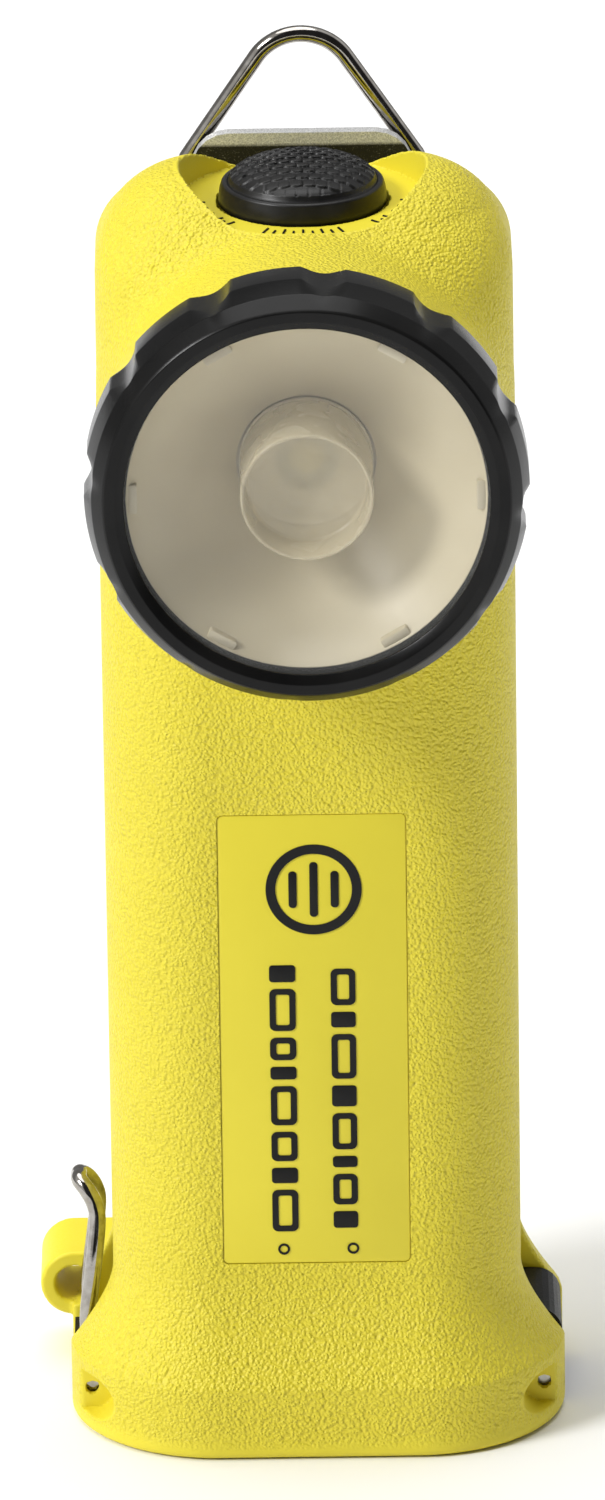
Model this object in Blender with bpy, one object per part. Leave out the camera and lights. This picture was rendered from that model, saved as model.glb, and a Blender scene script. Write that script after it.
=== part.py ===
"""Right-angle hand torch for fire crews, as separate solids in metres.

+Z is up, the lamp head faces -Y, and the origin is the centre of the underside.
The body is one hollow moulding. The lamp, the switch, the clip with its carrying
ring, and the hinged battery door with its wire bail are built onto it.
"""
import math

import bmesh
import bpy
from mathutils import Matrix, Vector

GAP = 0.0003                  # air between neighbouring pieces
MERGE = 1e-6                  # points closer than this are one point

# Body moulding
HEIGHT = 0.175
COLUMN_WIDTH = 0.0552
COLUMN_DEPTH = 0.044
COLUMN_CORNER = 0.014
BASE_WIDTH = 0.067
BASE_DEPTH = 0.054
BASE_CORNER = 0.020
BASE_WALL_TOP = 0.010
BASE_CHAMFER = 0.0008
FLARE_KNEE = 0.0175
FLARE_TOP_SIDE = 0.021
FLARE_TOP_FRONT = 0.025
DOME_SIDE_RADIUS = 0.013
DOME_FRONT_REACH = 0.020      # the dome's front and back are quarter ellipses
DOME_FRONT_DROP = 0.025
BAY_WIDTH = 0.050
BAY_DEPTH = 0.038
BAY_CORNER = 0.011
BAY_TOP = 0.114

# Head, measured from its centre line
HEAD_Z = 0.1445
NECK_RADIUS = 0.026
NECK_FRONT = -0.0375
NOSE_RADIUS = 0.0251
NOSE_FRONT = -0.0446
NOSE_BORE = 0.0226
SEAL_GROOVE_RADIUS = 0.0241
SEAL_GROOVE_BACK = 0.0386
SEAL_GROOVE_FRONT = 0.0400
BEZEL_RADIUS = 0.029
BEZEL_FRONT = -0.049
BEZEL_LIP = 0.0011
BEZEL_WINDOW = 0.0235
SCALLOP_COUNT = 12
SCALLOP_FIRST_DEG = 25
SCALLOP_RADIUS = 0.0045
SCALLOP_DEPTH = 0.0011
LENS_THICKNESS = 0.001
REFLECTOR_WALL = 0.0012
FLANGE_RADIUS = 0.0249
PIPE_RADIUS = 0.0087
PIPE_BACK = -0.0325

# Switch on top
RECESS_RADIUS = 0.0163
RECESS_FLOOR = 0.1698
BUTTON_RADIUS = 0.0112
BUTTON_TOP = 0.1758
STEM_LOW = 0.1664
TRENCH_FLOOR = 0.1672
WELL_RADIUS = 0.0095
WELL_FLOOR = 0.1560

# Side slots, battery door and bail
SLOT_WIDTH = 0.0149
PIVOT_X = 0.0306
PIVOT_Z = 0.0054
PIN_RADIUS = 0.0012
KNUCKLE_RADIUS = 0.0025
DOOR_RECESS_X = 0.0282
DOOR_RECESS_Y = 0.0222
DOOR_RECESS_CORNER = 0.013
DOOR_THICKNESS = 0.0034
BOSS_TOP = 0.0064
GASKET_LOW = 0.0011           # gasket's underside above the door plate
GASKET_DROP = 0.0009          # gasket's top below the boss's top
CATCH_HALF = 0.0042
WIRE_RADIUS = 0.00115
BAIL_LEG_Y = 0.0060
EYELET_X = -0.0332
EYELET_Z = 0.0110
EYELET_FRONT = 0.0086
EYELET_BACK = 0.0215
EYELET_RADIUS = 0.0046
EYELET_HOLE = 0.0026

# Clip and carrying ring on the back
PLATE_HALF_WIDTH = 0.0148
PLATE_FRONT = COLUMN_DEPTH / 2 + GAP
PLATE_BACK = PLATE_FRONT + 0.0020
PLATE_TOP = 0.1717
PLATE_BOTTOM = 0.098
RING_Y = 0.0272
RING_Z = 0.1645
RING_FOOT_X = 0.0170
RING_LEAN_DEG = 34
RING_CROWN_Z = 0.1840
CLIP_PIN_Y = 0.0270
CLIP_PIN_Z = 0.1560
PIN_REACH = 0.0128
SCREW_SHANK = 0.0012

# Batteries
CELL_RADIUS = 0.0112
CELL_LENGTH = 0.0430
CELL_X = 0.0117
CARRIER_BOTTOM = 0.0105

YELLOW = ("yellow_nylon", (0.78, 0.68, 0.05), 0.55, 0.0)
BLACK = ("black_nylon", (0.012, 0.012, 0.013), 0.40, 0.0)
RUBBER = ("black_rubber", (0.020, 0.020, 0.020), 0.65, 0.0)
STEEL = ("stainless_steel", (0.62, 0.60, 0.57), 0.18, 1.0)
DARK_STEEL = ("blackened_steel", (0.030, 0.030, 0.032), 0.50, 1.0)
ALUMINIUM = ("aluminium", (0.70, 0.70, 0.72), 0.35, 1.0)
BRASS = ("brass", (0.75, 0.55, 0.22), 0.30, 1.0)
CREAM = ("satin_reflector", (0.56, 0.51, 0.38), 0.35, 0.0)
CLEAR = ("clear_polycarbonate", (0.90, 0.92, 0.92), 0.05, 0.0)
BOARD = ("circuit_board", (0.05, 0.25, 0.10), 0.50, 0.0)
EMITTER = ("emitter_phosphor", (0.90, 0.80, 0.30), 0.40, 0.0)
CELL_SLEEVE = ("cell_sleeve", (0.10, 0.16, 0.35), 0.35, 0.0)
RED_SLEEVE = ("red_insulation", (0.45, 0.03, 0.03), 0.50, 0.0)


def surface(finish):
    """Principled material for a (name, colour, roughness, metallic) finish."""
    name, colour, roughness, metallic = finish
    found = bpy.data.materials.get(name)
    if found:
        return found
    made = bpy.data.materials.new(name)
    made.use_nodes = True
    shader = made.node_tree.nodes["Principled BSDF"]
    shader.inputs["Base Color"].default_value = (*colour, 1.0)
    shader.inputs["Roughness"].default_value = roughness
    shader.inputs["Metallic"].default_value = metallic
    made.diffuse_color = (*colour, 1.0)
    return made


def place(bm, name, finish, pivot=(0.0, 0.0, 0.0)):
    """Turn a bmesh in world coordinates into an object with its origin at pivot."""
    bmesh.ops.remove_doubles(bm, verts=bm.verts, dist=MERGE)
    bmesh.ops.recalc_face_normals(bm, faces=bm.faces)
    bmesh.ops.translate(bm, verts=bm.verts, vec=-Vector(pivot))
    mesh = bpy.data.meshes.new(name)
    bm.to_mesh(mesh)
    bm.free()
    mesh.shade_smooth()
    mesh.set_sharp_from_angle(angle=math.radians(35))
    obj = bpy.data.objects.new(name, mesh)
    obj.location = pivot
    if finish:
        mesh.materials.append(surface(finish))
    bpy.context.scene.collection.objects.link(obj)
    return obj


def combine(obj, other, operation):
    """Boolean obj with a helper solid, which is left out of the model."""
    other.hide_render = True
    other.display_type = "WIRE"
    step = obj.modifiers.new(other.name, "BOOLEAN")
    step.operation = operation
    step.solver = "EXACT"
    step.object = other


def cut(obj, bm):
    combine(obj, place(bm, obj.name + "_cutter", None), "DIFFERENCE")


def add(obj, bm):
    combine(obj, place(bm, obj.name + "_addition", None), "UNION")


def turned(outline, centre, axis, steps):
    """Solid turned from (radius, height) points about an axis through centre."""
    bm = bmesh.new()
    verts = [bm.verts.new((radius, 0.0, height)) for radius, height in outline]
    for first, second in zip(verts, verts[1:] + verts[:1]):
        if first.co.x > MERGE or second.co.x > MERGE:
            bm.edges.new((first, second))
    bmesh.ops.spin(bm, geom=verts + list(bm.edges), cent=(0, 0, 0), axis=(0, 0, 1),
                   angle=math.tau, steps=steps, use_merge=False)
    bmesh.ops.remove_doubles(bm, verts=bm.verts, dist=MERGE)
    turn = Vector((0, 0, 1)).rotation_difference(Vector(axis)).to_matrix().to_4x4()
    bmesh.ops.transform(bm, matrix=Matrix.Translation(centre) @ turn, verts=bm.verts)
    return bm


def rod(radius, start, end, steps=16):
    """Plain cylinder between two points."""
    start, end = Vector(start), Vector(end)
    length = (end - start).length
    outline = [(0, 0), (radius, 0), (radius, length), (0, length)]
    return turned(outline, start, (end - start).normalized(), steps)


def prism(outline, plane, low, high):
    """Outline in the XY, XZ or YZ plane, extruded from low to high on the third axis."""
    lift = {"XY": lambda a, b, c: (a, b, c),
            "XZ": lambda a, b, c: (a, c, b),
            "YZ": lambda a, b, c: (c, a, b)}[plane]
    bm = bmesh.new()
    near = [bm.verts.new(lift(a, b, low)) for a, b in outline]
    far = [bm.verts.new(lift(a, b, high)) for a, b in outline]
    bm.faces.new(near)
    bm.faces.new(far)
    count = len(outline)
    for i in range(count):
        j = (i + 1) % count
        bm.faces.new((near[i], near[j], far[j], far[i]))
    return bm


def block(low, high, bevel=0.0):
    """Box between two corners, with its edges bevelled when asked."""
    corners = [(low[0], low[1]), (high[0], low[1]), (high[0], high[1]), (low[0], high[1])]
    bm = prism(corners, "XY", low[2], high[2])
    if bevel:
        bmesh.ops.bevel(bm, geom=list(bm.edges), offset=bevel, segments=2, affect="EDGES",
                        profile=0.5)
    return bm


def rounded_rectangle(half_width, half_depth, corner, steps=5):
    """Outline of a rectangle with round corners, starting at +X and running to +Y."""
    points = []
    for quarter in range(4):
        side_x = 1 if quarter in (0, 3) else -1
        side_y = 1 if quarter in (0, 1) else -1
        for i in range(steps + 1):
            angle = math.pi / 2 * (quarter + i / steps)
            points.append((side_x * (half_width - corner) + corner * math.cos(angle),
                           side_y * (half_depth - corner) + corner * math.sin(angle)))
    return points


def arc(centre, radius, start_deg, end_deg, steps):
    """Points on a circle from one angle to another."""
    angles = [math.radians(start_deg + (end_deg - start_deg) * i / steps) for i in range(steps + 1)]
    return [(centre[0] + radius * math.cos(a), centre[1] + radius * math.sin(a)) for a in angles]


def wire(name, points, radius, finish, pivot=(0.0, 0.0, 0.0), closed=False, resolution=0):
    """Round wire along points, as a curve with a bevel."""
    curve = bpy.data.curves.new(name, "CURVE")
    curve.dimensions = "3D"
    curve.bevel_depth = radius
    curve.bevel_resolution = resolution
    curve.use_fill_caps = True
    spline = curve.splines.new("POLY")
    spline.points.add(len(points) - 1)
    spline.use_cyclic_u = closed
    for knot, point in zip(spline.points, points):
        knot.co = (*(Vector(point) - Vector(pivot)), 1.0)
    curve.materials.append(surface(finish))
    obj = bpy.data.objects.new(name, curve)
    obj.location = pivot
    bpy.context.scene.collection.objects.link(obj)
    return obj


def coil(centre, radius, length, turns, points_per_turn=8):
    """Points of a helix that runs up from centre along +Z."""
    count = int(turns * points_per_turn)
    points = []
    for i in range(count + 1):
        angle = math.tau * turns * i / count
        points.append((centre[0] + radius * math.cos(angle),
                       centre[1] + radius * math.sin(angle),
                       centre[2] + length * i / count))
    return points


# ---------------------------------------------------------------- body moulding

def body_rings():
    """Horizontal rings of the outside of the moulding, bottom to top."""
    base = (BASE_WIDTH / 2, BASE_DEPTH / 2, BASE_CORNER)
    column = (COLUMN_WIDTH / 2, COLUMN_DEPTH / 2, COLUMN_CORNER)
    foot = rounded_rectangle(base[0] - BASE_CHAMFER, base[1] - BASE_CHAMFER, base[2] - BASE_CHAMFER)
    wide = rounded_rectangle(*base)
    narrow = rounded_rectangle(*column)
    rings = [[(x, y, 0.0) for x, y in foot],
             [(x, y, BASE_CHAMFER) for x, y in wide]]
    flare_steps = 4
    for i in range(flare_steps + 1):
        t = i / flare_steps
        ring = []
        for (wide_x, wide_y), (slim_x, slim_y) in zip(wide, narrow):
            facing = abs(wide_y) / base[1]
            top = FLARE_TOP_SIDE + (FLARE_TOP_FRONT - FLARE_TOP_SIDE) * facing ** 2
            spread = (1 - t) ** 2
            height = BASE_WALL_TOP * spread + 2 * FLARE_KNEE * t * (1 - t) + top * t ** 2
            ring.append((slim_x + (wide_x - slim_x) * spread,
                         slim_y + (wide_y - slim_y) * spread, height))
        rings.append(ring)
    for rise_deg in (0, 18, 34, 48, 60, 71, 81, 90):
        z = HEIGHT - DOME_FRONT_DROP * (1 - math.sin(math.radians(rise_deg)))
        front = math.cos(math.radians(rise_deg))
        side_rise = max(0, (z - HEIGHT) / DOME_SIDE_RADIUS + 1)
        side = math.sqrt(max(0, 1 - side_rise ** 2))
        half_width = column[0] - DOME_SIDE_RADIUS * (1 - side)
        half_depth = column[1] - DOME_FRONT_REACH * (1 - front)
        corner = min(COLUMN_CORNER, 0.98 * half_depth)
        rings.append([(x, y, z) for x, y in rounded_rectangle(half_width, half_depth, corner)])
    return rings


def body_outside():
    """Outside of the moulding, closed at both ends."""
    bm = bmesh.new()
    rings = [[bm.verts.new(point) for point in ring] for ring in body_rings()]
    count = len(rings[0])
    for lower, upper in zip(rings, rings[1:]):
        for i in range(count):
            j = (i + 1) % count
            bm.faces.new((lower[i], lower[j], upper[j], upper[i]))
    bm.faces.new(rings[0])
    bm.faces.new(rings[-1])
    return bm


def head(outline, steps):
    """Solid turned about the head's centre line; heights run forward, towards -Y."""
    return turned(outline, (0, 0, HEAD_Z), (0, -1, 0), steps)


def lug_outline():
    """Lanyard lug as (x, z): a round end that runs straight back to the body."""
    root = -COLUMN_WIDTH / 2 + 0.0015
    round_end = arc((EYELET_X, EYELET_Z), EYELET_RADIUS, 90, 270, 10)
    return round_end + [(root, EYELET_Z - EYELET_RADIUS), (root, EYELET_Z + EYELET_RADIUS)]


def make_housing():
    obj = place(body_outside(), "main_housing", YELLOW)
    neck_root = 0.012
    add(obj, head([(0, neck_root), (NECK_RADIUS, neck_root), (NECK_RADIUS, -NECK_FRONT),
                   (NOSE_RADIUS, -NECK_FRONT), (NOSE_RADIUS, -NOSE_FRONT), (0, -NOSE_FRONT)], 40))
    add(obj, prism(lug_outline(), "XZ", EYELET_FRONT, EYELET_BACK))

    # lamp chamber: wide bore, heat-sink shoulder and a deeper centre behind the driver board
    shoulder, board_wall, end_wall = 0.024, 0.011, -0.010
    board_radius, centre_radius = 0.0195, 0.013
    past_nose = 0.050
    cut(obj, head([(0, end_wall), (centre_radius, end_wall), (centre_radius, board_wall),
                   (board_radius, board_wall), (board_radius, shoulder), (NOSE_BORE, shoulder),
                   (NOSE_BORE, past_nose), (0, past_nose)], 32))
    past_ring = 0.030
    cut(obj, head([(SEAL_GROOVE_RADIUS, SEAL_GROOVE_BACK), (past_ring, SEAL_GROOVE_BACK),
                   (past_ring, SEAL_GROOVE_FRONT), (SEAL_GROOVE_RADIUS, SEAL_GROOVE_FRONT)], 36))

    # switch recess, trench and well, and the wire holes between the chambers
    overshoot = 0.001
    trench_radius = BUTTON_RADIUS + GAP
    cut(obj, rod(RECESS_RADIUS, (0, 0, RECESS_FLOOR), (0, 0, HEIGHT + overshoot), 36))
    cut(obj, turned([(0, WELL_FLOOR), (WELL_RADIUS, WELL_FLOOR), (WELL_RADIUS, TRENCH_FLOOR),
                     (trench_radius, TRENCH_FLOOR), (trench_radius, RECESS_FLOOR + overshoot),
                     (0, RECESS_FLOOR + overshoot)], (0, 0, 0), (0, 0, 1), 28))
    switch_wire_hole, battery_wire_hole, battery_wire_y = 0.003, 0.004, 0.003
    cut(obj, rod(switch_wire_hole, (0, 0, HEAD_Z), (0, 0, WELL_FLOOR + overshoot), 10))
    cut(obj, rod(battery_wire_hole, (0, battery_wire_y, BAY_TOP - overshoot),
                 (0, battery_wire_y, HEAD_Z), 10))

    # battery bay, door recess and the two side slots
    bay = rounded_rectangle(BAY_WIDTH / 2, BAY_DEPTH / 2, BAY_CORNER, 4)
    cut(obj, prism(bay, "XY", -overshoot, BAY_TOP))
    recess = rounded_rectangle(DOOR_RECESS_X, DOOR_RECESS_Y, DOOR_RECESS_CORNER, 4)
    cut(obj, prism(recess, "XY", -1.5 * overshoot, DOOR_THICKNESS + GAP))
    slot_top = FLARE_TOP_FRONT + 0.007
    pocket_radius, pin_hole_radius = 0.0030, PIN_RADIUS + 0.00025
    pocket_end, pin_hole_end = -0.0136, 0.0138
    for side in (-1, 1):
        near, far = sorted((side * COLUMN_WIDTH / 2, side * BASE_WIDTH))
        cut(obj, block((near, -SLOT_WIDTH / 2, -2 * overshoot), (far, SLOT_WIDTH / 2, slot_top)))
        cut(obj, rod(pocket_radius, (side * PIVOT_X, -BASE_DEPTH, PIVOT_Z),
                     (side * PIVOT_X, pocket_end, PIVOT_Z), 16))
        cut(obj, rod(pin_hole_radius, (side * PIVOT_X, pocket_end - overshoot, PIVOT_Z),
                     (side * PIVOT_X, pin_hole_end, PIVOT_Z), 12))
    cut(obj, rod(EYELET_HOLE, (EYELET_X, 0, EYELET_Z), (EYELET_X, BASE_DEPTH, EYELET_Z), 14))


def make_hinge_block():
    """Black block that fills the right slot above the door's knuckle."""
    inner = COLUMN_WIDTH / 2 + GAP
    outer = BASE_WIDTH / 2 - GAP
    low, top, round_off = 0.0083, 0.0132, 0.0034
    outline = [(inner, low), (outer, low)]
    outline += arc((outer - round_off, top - round_off), round_off, 0, 90, 6)
    outline += [(inner, top)]
    half = SLOT_WIDTH / 2 - GAP
    place(prism(outline, "XZ", -half, half), "hinge_block", BLACK)


# ---------------------------------------------------------------- lamp head

def make_bezel():
    back = -NECK_FRONT + GAP
    front = -BEZEL_FRONT
    bore = NOSE_RADIUS + GAP
    lip_back = front - BEZEL_LIP
    small, wide_x, wide_y = 0.0006, 0.0019, 0.0056
    outline = [(bore, back), (BEZEL_RADIUS - small, back), (BEZEL_RADIUS, back + small),
               (BEZEL_RADIUS, front - wide_y), (BEZEL_RADIUS - wide_x, front),
               (BEZEL_WINDOW + 0.0014, front), (BEZEL_WINDOW, front - small),
               (BEZEL_WINDOW, lip_back), (bore, lip_back)]
    obj = place(head(outline, 48), "bezel", BLACK, (0, BEZEL_FRONT, HEAD_Z))
    reach = BEZEL_RADIUS + SCALLOP_RADIUS - SCALLOP_DEPTH
    for i in range(SCALLOP_COUNT):
        angle = math.radians(SCALLOP_FIRST_DEG + 360 / SCALLOP_COUNT * i)
        x, z = reach * math.cos(angle), HEAD_Z + reach * math.sin(angle)
        past = 0.001
        cut(obj, rod(SCALLOP_RADIUS, (x, -front - past, z), (x, -back + past, z), 12))


def make_lens_stack():
    lens_front = -BEZEL_FRONT - BEZEL_LIP - GAP
    lens_back = lens_front - LENS_THICKNESS
    gasket_front = lens_back - GAP
    gasket_back = gasket_front - 0.0005
    rim = NOSE_RADIUS - 0.0001
    gasket_inner, gasket_outer = BEZEL_WINDOW + 0.0001, FLANGE_RADIUS
    pivot = (0, BEZEL_FRONT, HEAD_Z)
    place(head([(0, lens_back), (rim, lens_back), (rim, lens_front), (0, lens_front)], 32),
          "lens", CLEAR, pivot)
    gasket = [(gasket_inner, gasket_back), (gasket_outer, gasket_back),
              (gasket_outer, gasket_front), (gasket_inner, gasket_front)]
    place(head(gasket, 24), "lens_gasket", RUBBER, pivot)


def make_reflector():
    """Shallow cone with a flange that sits on the front of the nose."""
    flange_back, flange_front = -NOSE_FRONT + GAP, 0.0454
    mouth, throat, floor_hole = 0.0234, PIPE_RADIUS + 0.0005, 0.0042
    neck, neck_back = NOSE_BORE - 0.0004, 0.0440
    floor = -PIPE_BACK - GAP
    outline = [(floor_hole, floor), (throat, floor), (mouth, flange_front),
               (FLANGE_RADIUS, flange_front), (FLANGE_RADIUS, flange_back), (neck, flange_back),
               (neck, neck_back), (throat + REFLECTOR_WALL / 2, floor - REFLECTOR_WALL),
               (floor_hole, floor - REFLECTOR_WALL)]
    place(head(outline, 36), "reflector", CREAM)


def disc(radius, back, front, steps, inner=0.0):
    """Flat disc or washer on the head's centre line, between two distances forward."""
    return head([(inner, back), (radius, back), (radius, front), (inner, front)], steps)


def make_light_pipe():
    front, edge = 0.0463, 0.0004
    dimple_radius, dimple_depth = 0.0030, 0.0022
    place(head([(0, -PIPE_BACK + dimple_depth), (dimple_radius, -PIPE_BACK),
                (PIPE_RADIUS, -PIPE_BACK), (PIPE_RADIUS, front - edge),
                (PIPE_RADIUS - edge, front), (0, front)], 28), "light_pipe", CLEAR)


def make_emitter(board_front):
    """Small light source with a rounded top, on the lamp board."""
    radius, top_radius = 0.0024, 0.0017
    base = board_front + GAP
    shoulder, top, crown = base + 0.0006, base + 0.0013, base + 0.0016
    place(head([(0, base), (radius, base), (radius, shoulder), (top_radius, top), (0, crown)], 12),
          "led_emitter", EMITTER)


def make_lamp():
    """Heat sink and boards, stacked forward from the sink's seat in the housing."""
    sink_radius = NOSE_BORE - 0.0004
    sink_back, sink_front = 0.0246, 0.0281
    slot_radius, slot_back, slot_front = 0.0185, 0.0262, 0.0268
    sink = [(0, sink_back), (sink_radius, sink_back), (sink_radius, slot_back),
            (slot_radius, slot_back), (slot_radius, slot_front), (sink_radius, slot_front),
            (sink_radius, sink_front), (0, sink_front)]
    place(head(sink, 24), "heat_sink", ALUMINIUM)
    board_back = sink_front + GAP
    board_front = board_back + 0.0013
    place(disc(0.0090, board_back, board_front, 20), "led_board", BOARD)
    make_emitter(board_front)
    make_light_pipe()
    ring_inner, ring_front = 0.0175, board_back + 0.0018
    place(disc(sink_radius, board_back, ring_front, 24, ring_inner), "sink_ring", BRASS)
    driver_back = 0.0180
    place(disc(0.0180, driver_back, driver_back + 0.0016, 20), "driver_board", BOARD)
    place(disc(0.0045, driver_back - 0.0050, driver_back - GAP, 12), "driver_coil", DARK_STEEL)
    place(disc(0.0250, SEAL_GROOVE_BACK + GAP, SEAL_GROOVE_FRONT - GAP, 28,
               SEAL_GROOVE_RADIUS + 0.0004), "head_seal", RUBBER)


# ---------------------------------------------------------------- switch

def make_button():
    """Rubber button: tapered skirt, groove, low dome, and a stem inside."""
    skirt_low, skirt_top = RECESS_FLOOR - GAP, 0.1722
    shoulder = [(0.0108, skirt_top), (0.0104, skirt_top + 0.0005), (0.0100, skirt_top + 0.0003)]
    dome_radius, dome_edge = 0.0097, skirt_top + 0.0006
    rise = BUTTON_TOP - dome_edge
    dome_steps = 6
    dome = []
    for i in range(dome_steps, -1, -1):
        angle = math.pi / 2 * i / dome_steps
        dome.append((dome_radius * math.sin(angle), dome_edge + rise * math.cos(angle)))
    wall = 0.0014
    stem_radius = 0.0026
    inside = [(0, STEM_LOW), (stem_radius, STEM_LOW), (stem_radius, BUTTON_TOP - 0.0020),
              (0.0070, BUTTON_TOP - 0.0034), (0.0092, BUTTON_TOP - 0.0048)]
    outline = [(BUTTON_RADIUS - wall, skirt_low), (BUTTON_RADIUS, skirt_low)]
    outline += shoulder + dome + inside
    place(turned(outline, (0, 0, 0), (0, 0, 1), 28), "switch_button", RUBBER, (0, 0, BUTTON_TOP))


def make_switch():
    """Plunger, guide disc, switch body and return spring in the well under the button."""
    plunger_radius, plunger_low = 0.0022, 0.1636
    place(rod(plunger_radius, (0, 0, plunger_low), (0, 0, STEM_LOW - GAP), 12), "switch_plunger",
          STEEL, (0, 0, BUTTON_TOP))
    guide_low, seat = 0.1628, 0.1650
    guide_hole = plunger_radius + 0.0007
    guide = [(guide_hole, guide_low), (WELL_RADIUS - GAP, guide_low), (WELL_RADIUS - GAP, seat),
             (guide_hole, seat)]
    place(turned(guide, (0, 0, 0), (0, 0, 1), 20), "switch_guide", BLACK)
    half_width, half_depth, body_top = 0.006, 0.0055, guide_low - 0.0011
    place(block((-half_width, -half_depth, WELL_FLOOR + GAP), (half_width, half_depth, body_top),
                0.0004), "switch_body", BLACK)
    spring_wire, spring_radius, spring_length, turns = 0.00035, 0.0048, 0.0062, 4
    loops = coil((0, 0, seat + GAP + spring_wire), spring_radius, spring_length, turns)
    wire("switch_spring", loops, spring_wire, STEEL, (0, 0, seat))


def make_leads():
    """Two insulated leads from the switch down to the driver board."""
    lead_radius, half_spacing = 0.0007, 0.0014
    for side, finish, name in ((-1, RED_SLEEVE, "lead_positive"), (1, RUBBER, "lead_negative")):
        x = side * half_spacing
        route = [(x, 0, WELL_FLOOR - GAP), (x, 0, 0.1520), (1.6 * x, -0.002, 0.1490),
                 (2.2 * x, -0.006, 0.1475), (3.4 * x, -0.011, 0.1480), (4.2 * x, -0.0170, 0.1490)]
        wire(name, route, lead_radius, finish)


# ---------------------------------------------------------------- clip and ring

def make_clip_plate():
    """Flat plate with two pairs of ears: for the carrying ring and for the clip's pin."""
    corner = 0.005
    outline = rounded_rectangle(PLATE_HALF_WIDTH, (PLATE_TOP - PLATE_BOTTOM) / 2, corner, 5)
    middle = (PLATE_TOP + PLATE_BOTTOM) / 2
    obj = place(prism([(x, z + middle) for x, z in outline], "XZ", PLATE_FRONT, PLATE_BACK),
                "clip_plate", DARK_STEEL)
    ear_radius, sink = 0.00225, 0.0008
    ring_ears = (RING_Y, RING_Z, 0.0060, 0.0105)
    pin_ears = (CLIP_PIN_Y, CLIP_PIN_Z, 0.0106, PIN_REACH)
    for side in (-1, 1):
        for y, z, inner, outer in (ring_ears, pin_ears):
            ear = [(PLATE_BACK - sink, z - ear_radius)]
            ear += arc((y, z), ear_radius, -90, 90, 7)
            ear += [(PLATE_BACK - sink, z + ear_radius)]
            near, far = sorted((side * inner, side * outer))
            add(obj, prism(ear, "YZ", near, far))
    for radius, y, z in ((WIRE_RADIUS, RING_Y, RING_Z), (PIN_RADIUS, CLIP_PIN_Y, CLIP_PIN_Z)):
        cut(obj, rod(radius + GAP, (-COLUMN_WIDTH, y, z), (COLUMN_WIDTH, y, z), 12))
    past = 0.001
    for x, z in screw_places():
        cut(obj, rod(SCREW_SHANK + GAP, (x, PLATE_FRONT - past, z), (x, PLATE_BACK + past, z), 10))


def screw_places():
    """(x, z) of the four screws that hold the clip plate."""
    offset, upper, lower = 0.0125, 0.1465, 0.1050
    return [(side * offset, z) for z in (upper, lower) for side in (-1, 1)]


def make_clip_screws():
    """Screws whose heads stand on the plate and whose shanks end in the plate's holes."""
    head_radius, edge = 0.0020, 0.0006
    seat = PLATE_BACK + GAP
    for number, (x, z) in enumerate(screw_places(), 1):
        outline = [(0, PLATE_FRONT), (SCREW_SHANK, PLATE_FRONT), (SCREW_SHANK, seat),
                   (head_radius, seat), (head_radius, seat + 0.0007),
                   (head_radius - edge, seat + 0.0007 + edge), (0, seat + 0.0007 + edge)]
        place(turned(outline, (x, 0, z), (0, 1, 0), 12), "clip_screw_%d" % number, STEEL)


def make_belt_clip():
    """Sprung arm behind the plate, with knuckles on the pin and a flared lower end."""
    half, knuckle, tongue = 0.0100, 0.0024, 0.0045
    inside, outside = PLATE_BACK + 0.0032, PLATE_BACK + 0.0048
    pivot = (0, CLIP_PIN_Y, CLIP_PIN_Z)
    lip_z, nose_z, top = 0.1040, 0.0990, CLIP_PIN_Z + 0.0025
    side_view = [(inside, top), (inside, lip_z + 0.009), (PLATE_BACK + 0.0006, lip_z),
                 (PLATE_BACK + 0.0022, nose_z), (PLATE_BACK + 0.0037, nose_z + 0.0004),
                 (PLATE_BACK + 0.0024, lip_z + 0.0006), (outside, lip_z + 0.0098), (outside, top)]
    obj = place(prism(side_view, "YZ", -half, half), "belt_clip", DARK_STEEL, pivot)
    for side in (-1, 1):
        near, far = sorted((side * (tongue + GAP), side * (half + GAP)))
        add(obj, rod(knuckle, (near, CLIP_PIN_Y, CLIP_PIN_Z), (far, CLIP_PIN_Y, CLIP_PIN_Z), 12))
    cut(obj, block((-tongue, PLATE_FRONT, CLIP_PIN_Z - 0.004),
                   (tongue, PLATE_FRONT + COLUMN_DEPTH, CLIP_PIN_Z + 0.005)))
    cut(obj, rod(PIN_RADIUS + GAP, (-COLUMN_WIDTH, CLIP_PIN_Y, CLIP_PIN_Z),
                 (COLUMN_WIDTH, CLIP_PIN_Y, CLIP_PIN_Z), 12))


def make_clip_pivot():
    place(rod(PIN_RADIUS, (-PIN_REACH, CLIP_PIN_Y, CLIP_PIN_Z), (PIN_REACH, CLIP_PIN_Y, CLIP_PIN_Z),
              16), "clip_pin", STEEL)
    turns, spread, coil_radius, wire_radius = 4, 0.0070, 0.0020, 0.00035
    loops = [(z - spread / 2, CLIP_PIN_Y + x, CLIP_PIN_Z + y)
             for x, y, z in coil((0, 0, 0), coil_radius, spread, turns)]
    wire("clip_spring", loops, wire_radius, STEEL)


def ring_outline():
    """Centre line of the carrying ring as (x, z): a round-topped triangle."""
    lean = math.radians(RING_LEAN_DEG)
    tip_z = RING_Z + RING_FOOT_X / math.tan(lean)
    crown = (tip_z - RING_CROWN_Z) / (1 / math.sin(lean) - 1)
    crown_centre = (0, RING_CROWN_Z - crown)
    right_top = arc(crown_centre, crown, RING_LEAN_DEG, 180 - RING_LEAN_DEG, 8)
    corner = 0.0016
    offset = corner / math.tan(math.radians(90 - RING_LEAN_DEG) / 2)
    left_centre = (-RING_FOOT_X + offset, RING_Z + corner)
    right_centre = (RING_FOOT_X - offset, RING_Z + corner)
    left = arc(left_centre, corner, 180 - RING_LEAN_DEG, 270, 5)
    right = arc(right_centre, corner, -90, RING_LEAN_DEG, 5)
    return right_top + left + right


def make_ring():
    wire("d_ring", [(x, RING_Y, z) for x, z in ring_outline()], WIRE_RADIUS, STEEL,
         (0, RING_Y, RING_Z), closed=True, resolution=2)


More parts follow.
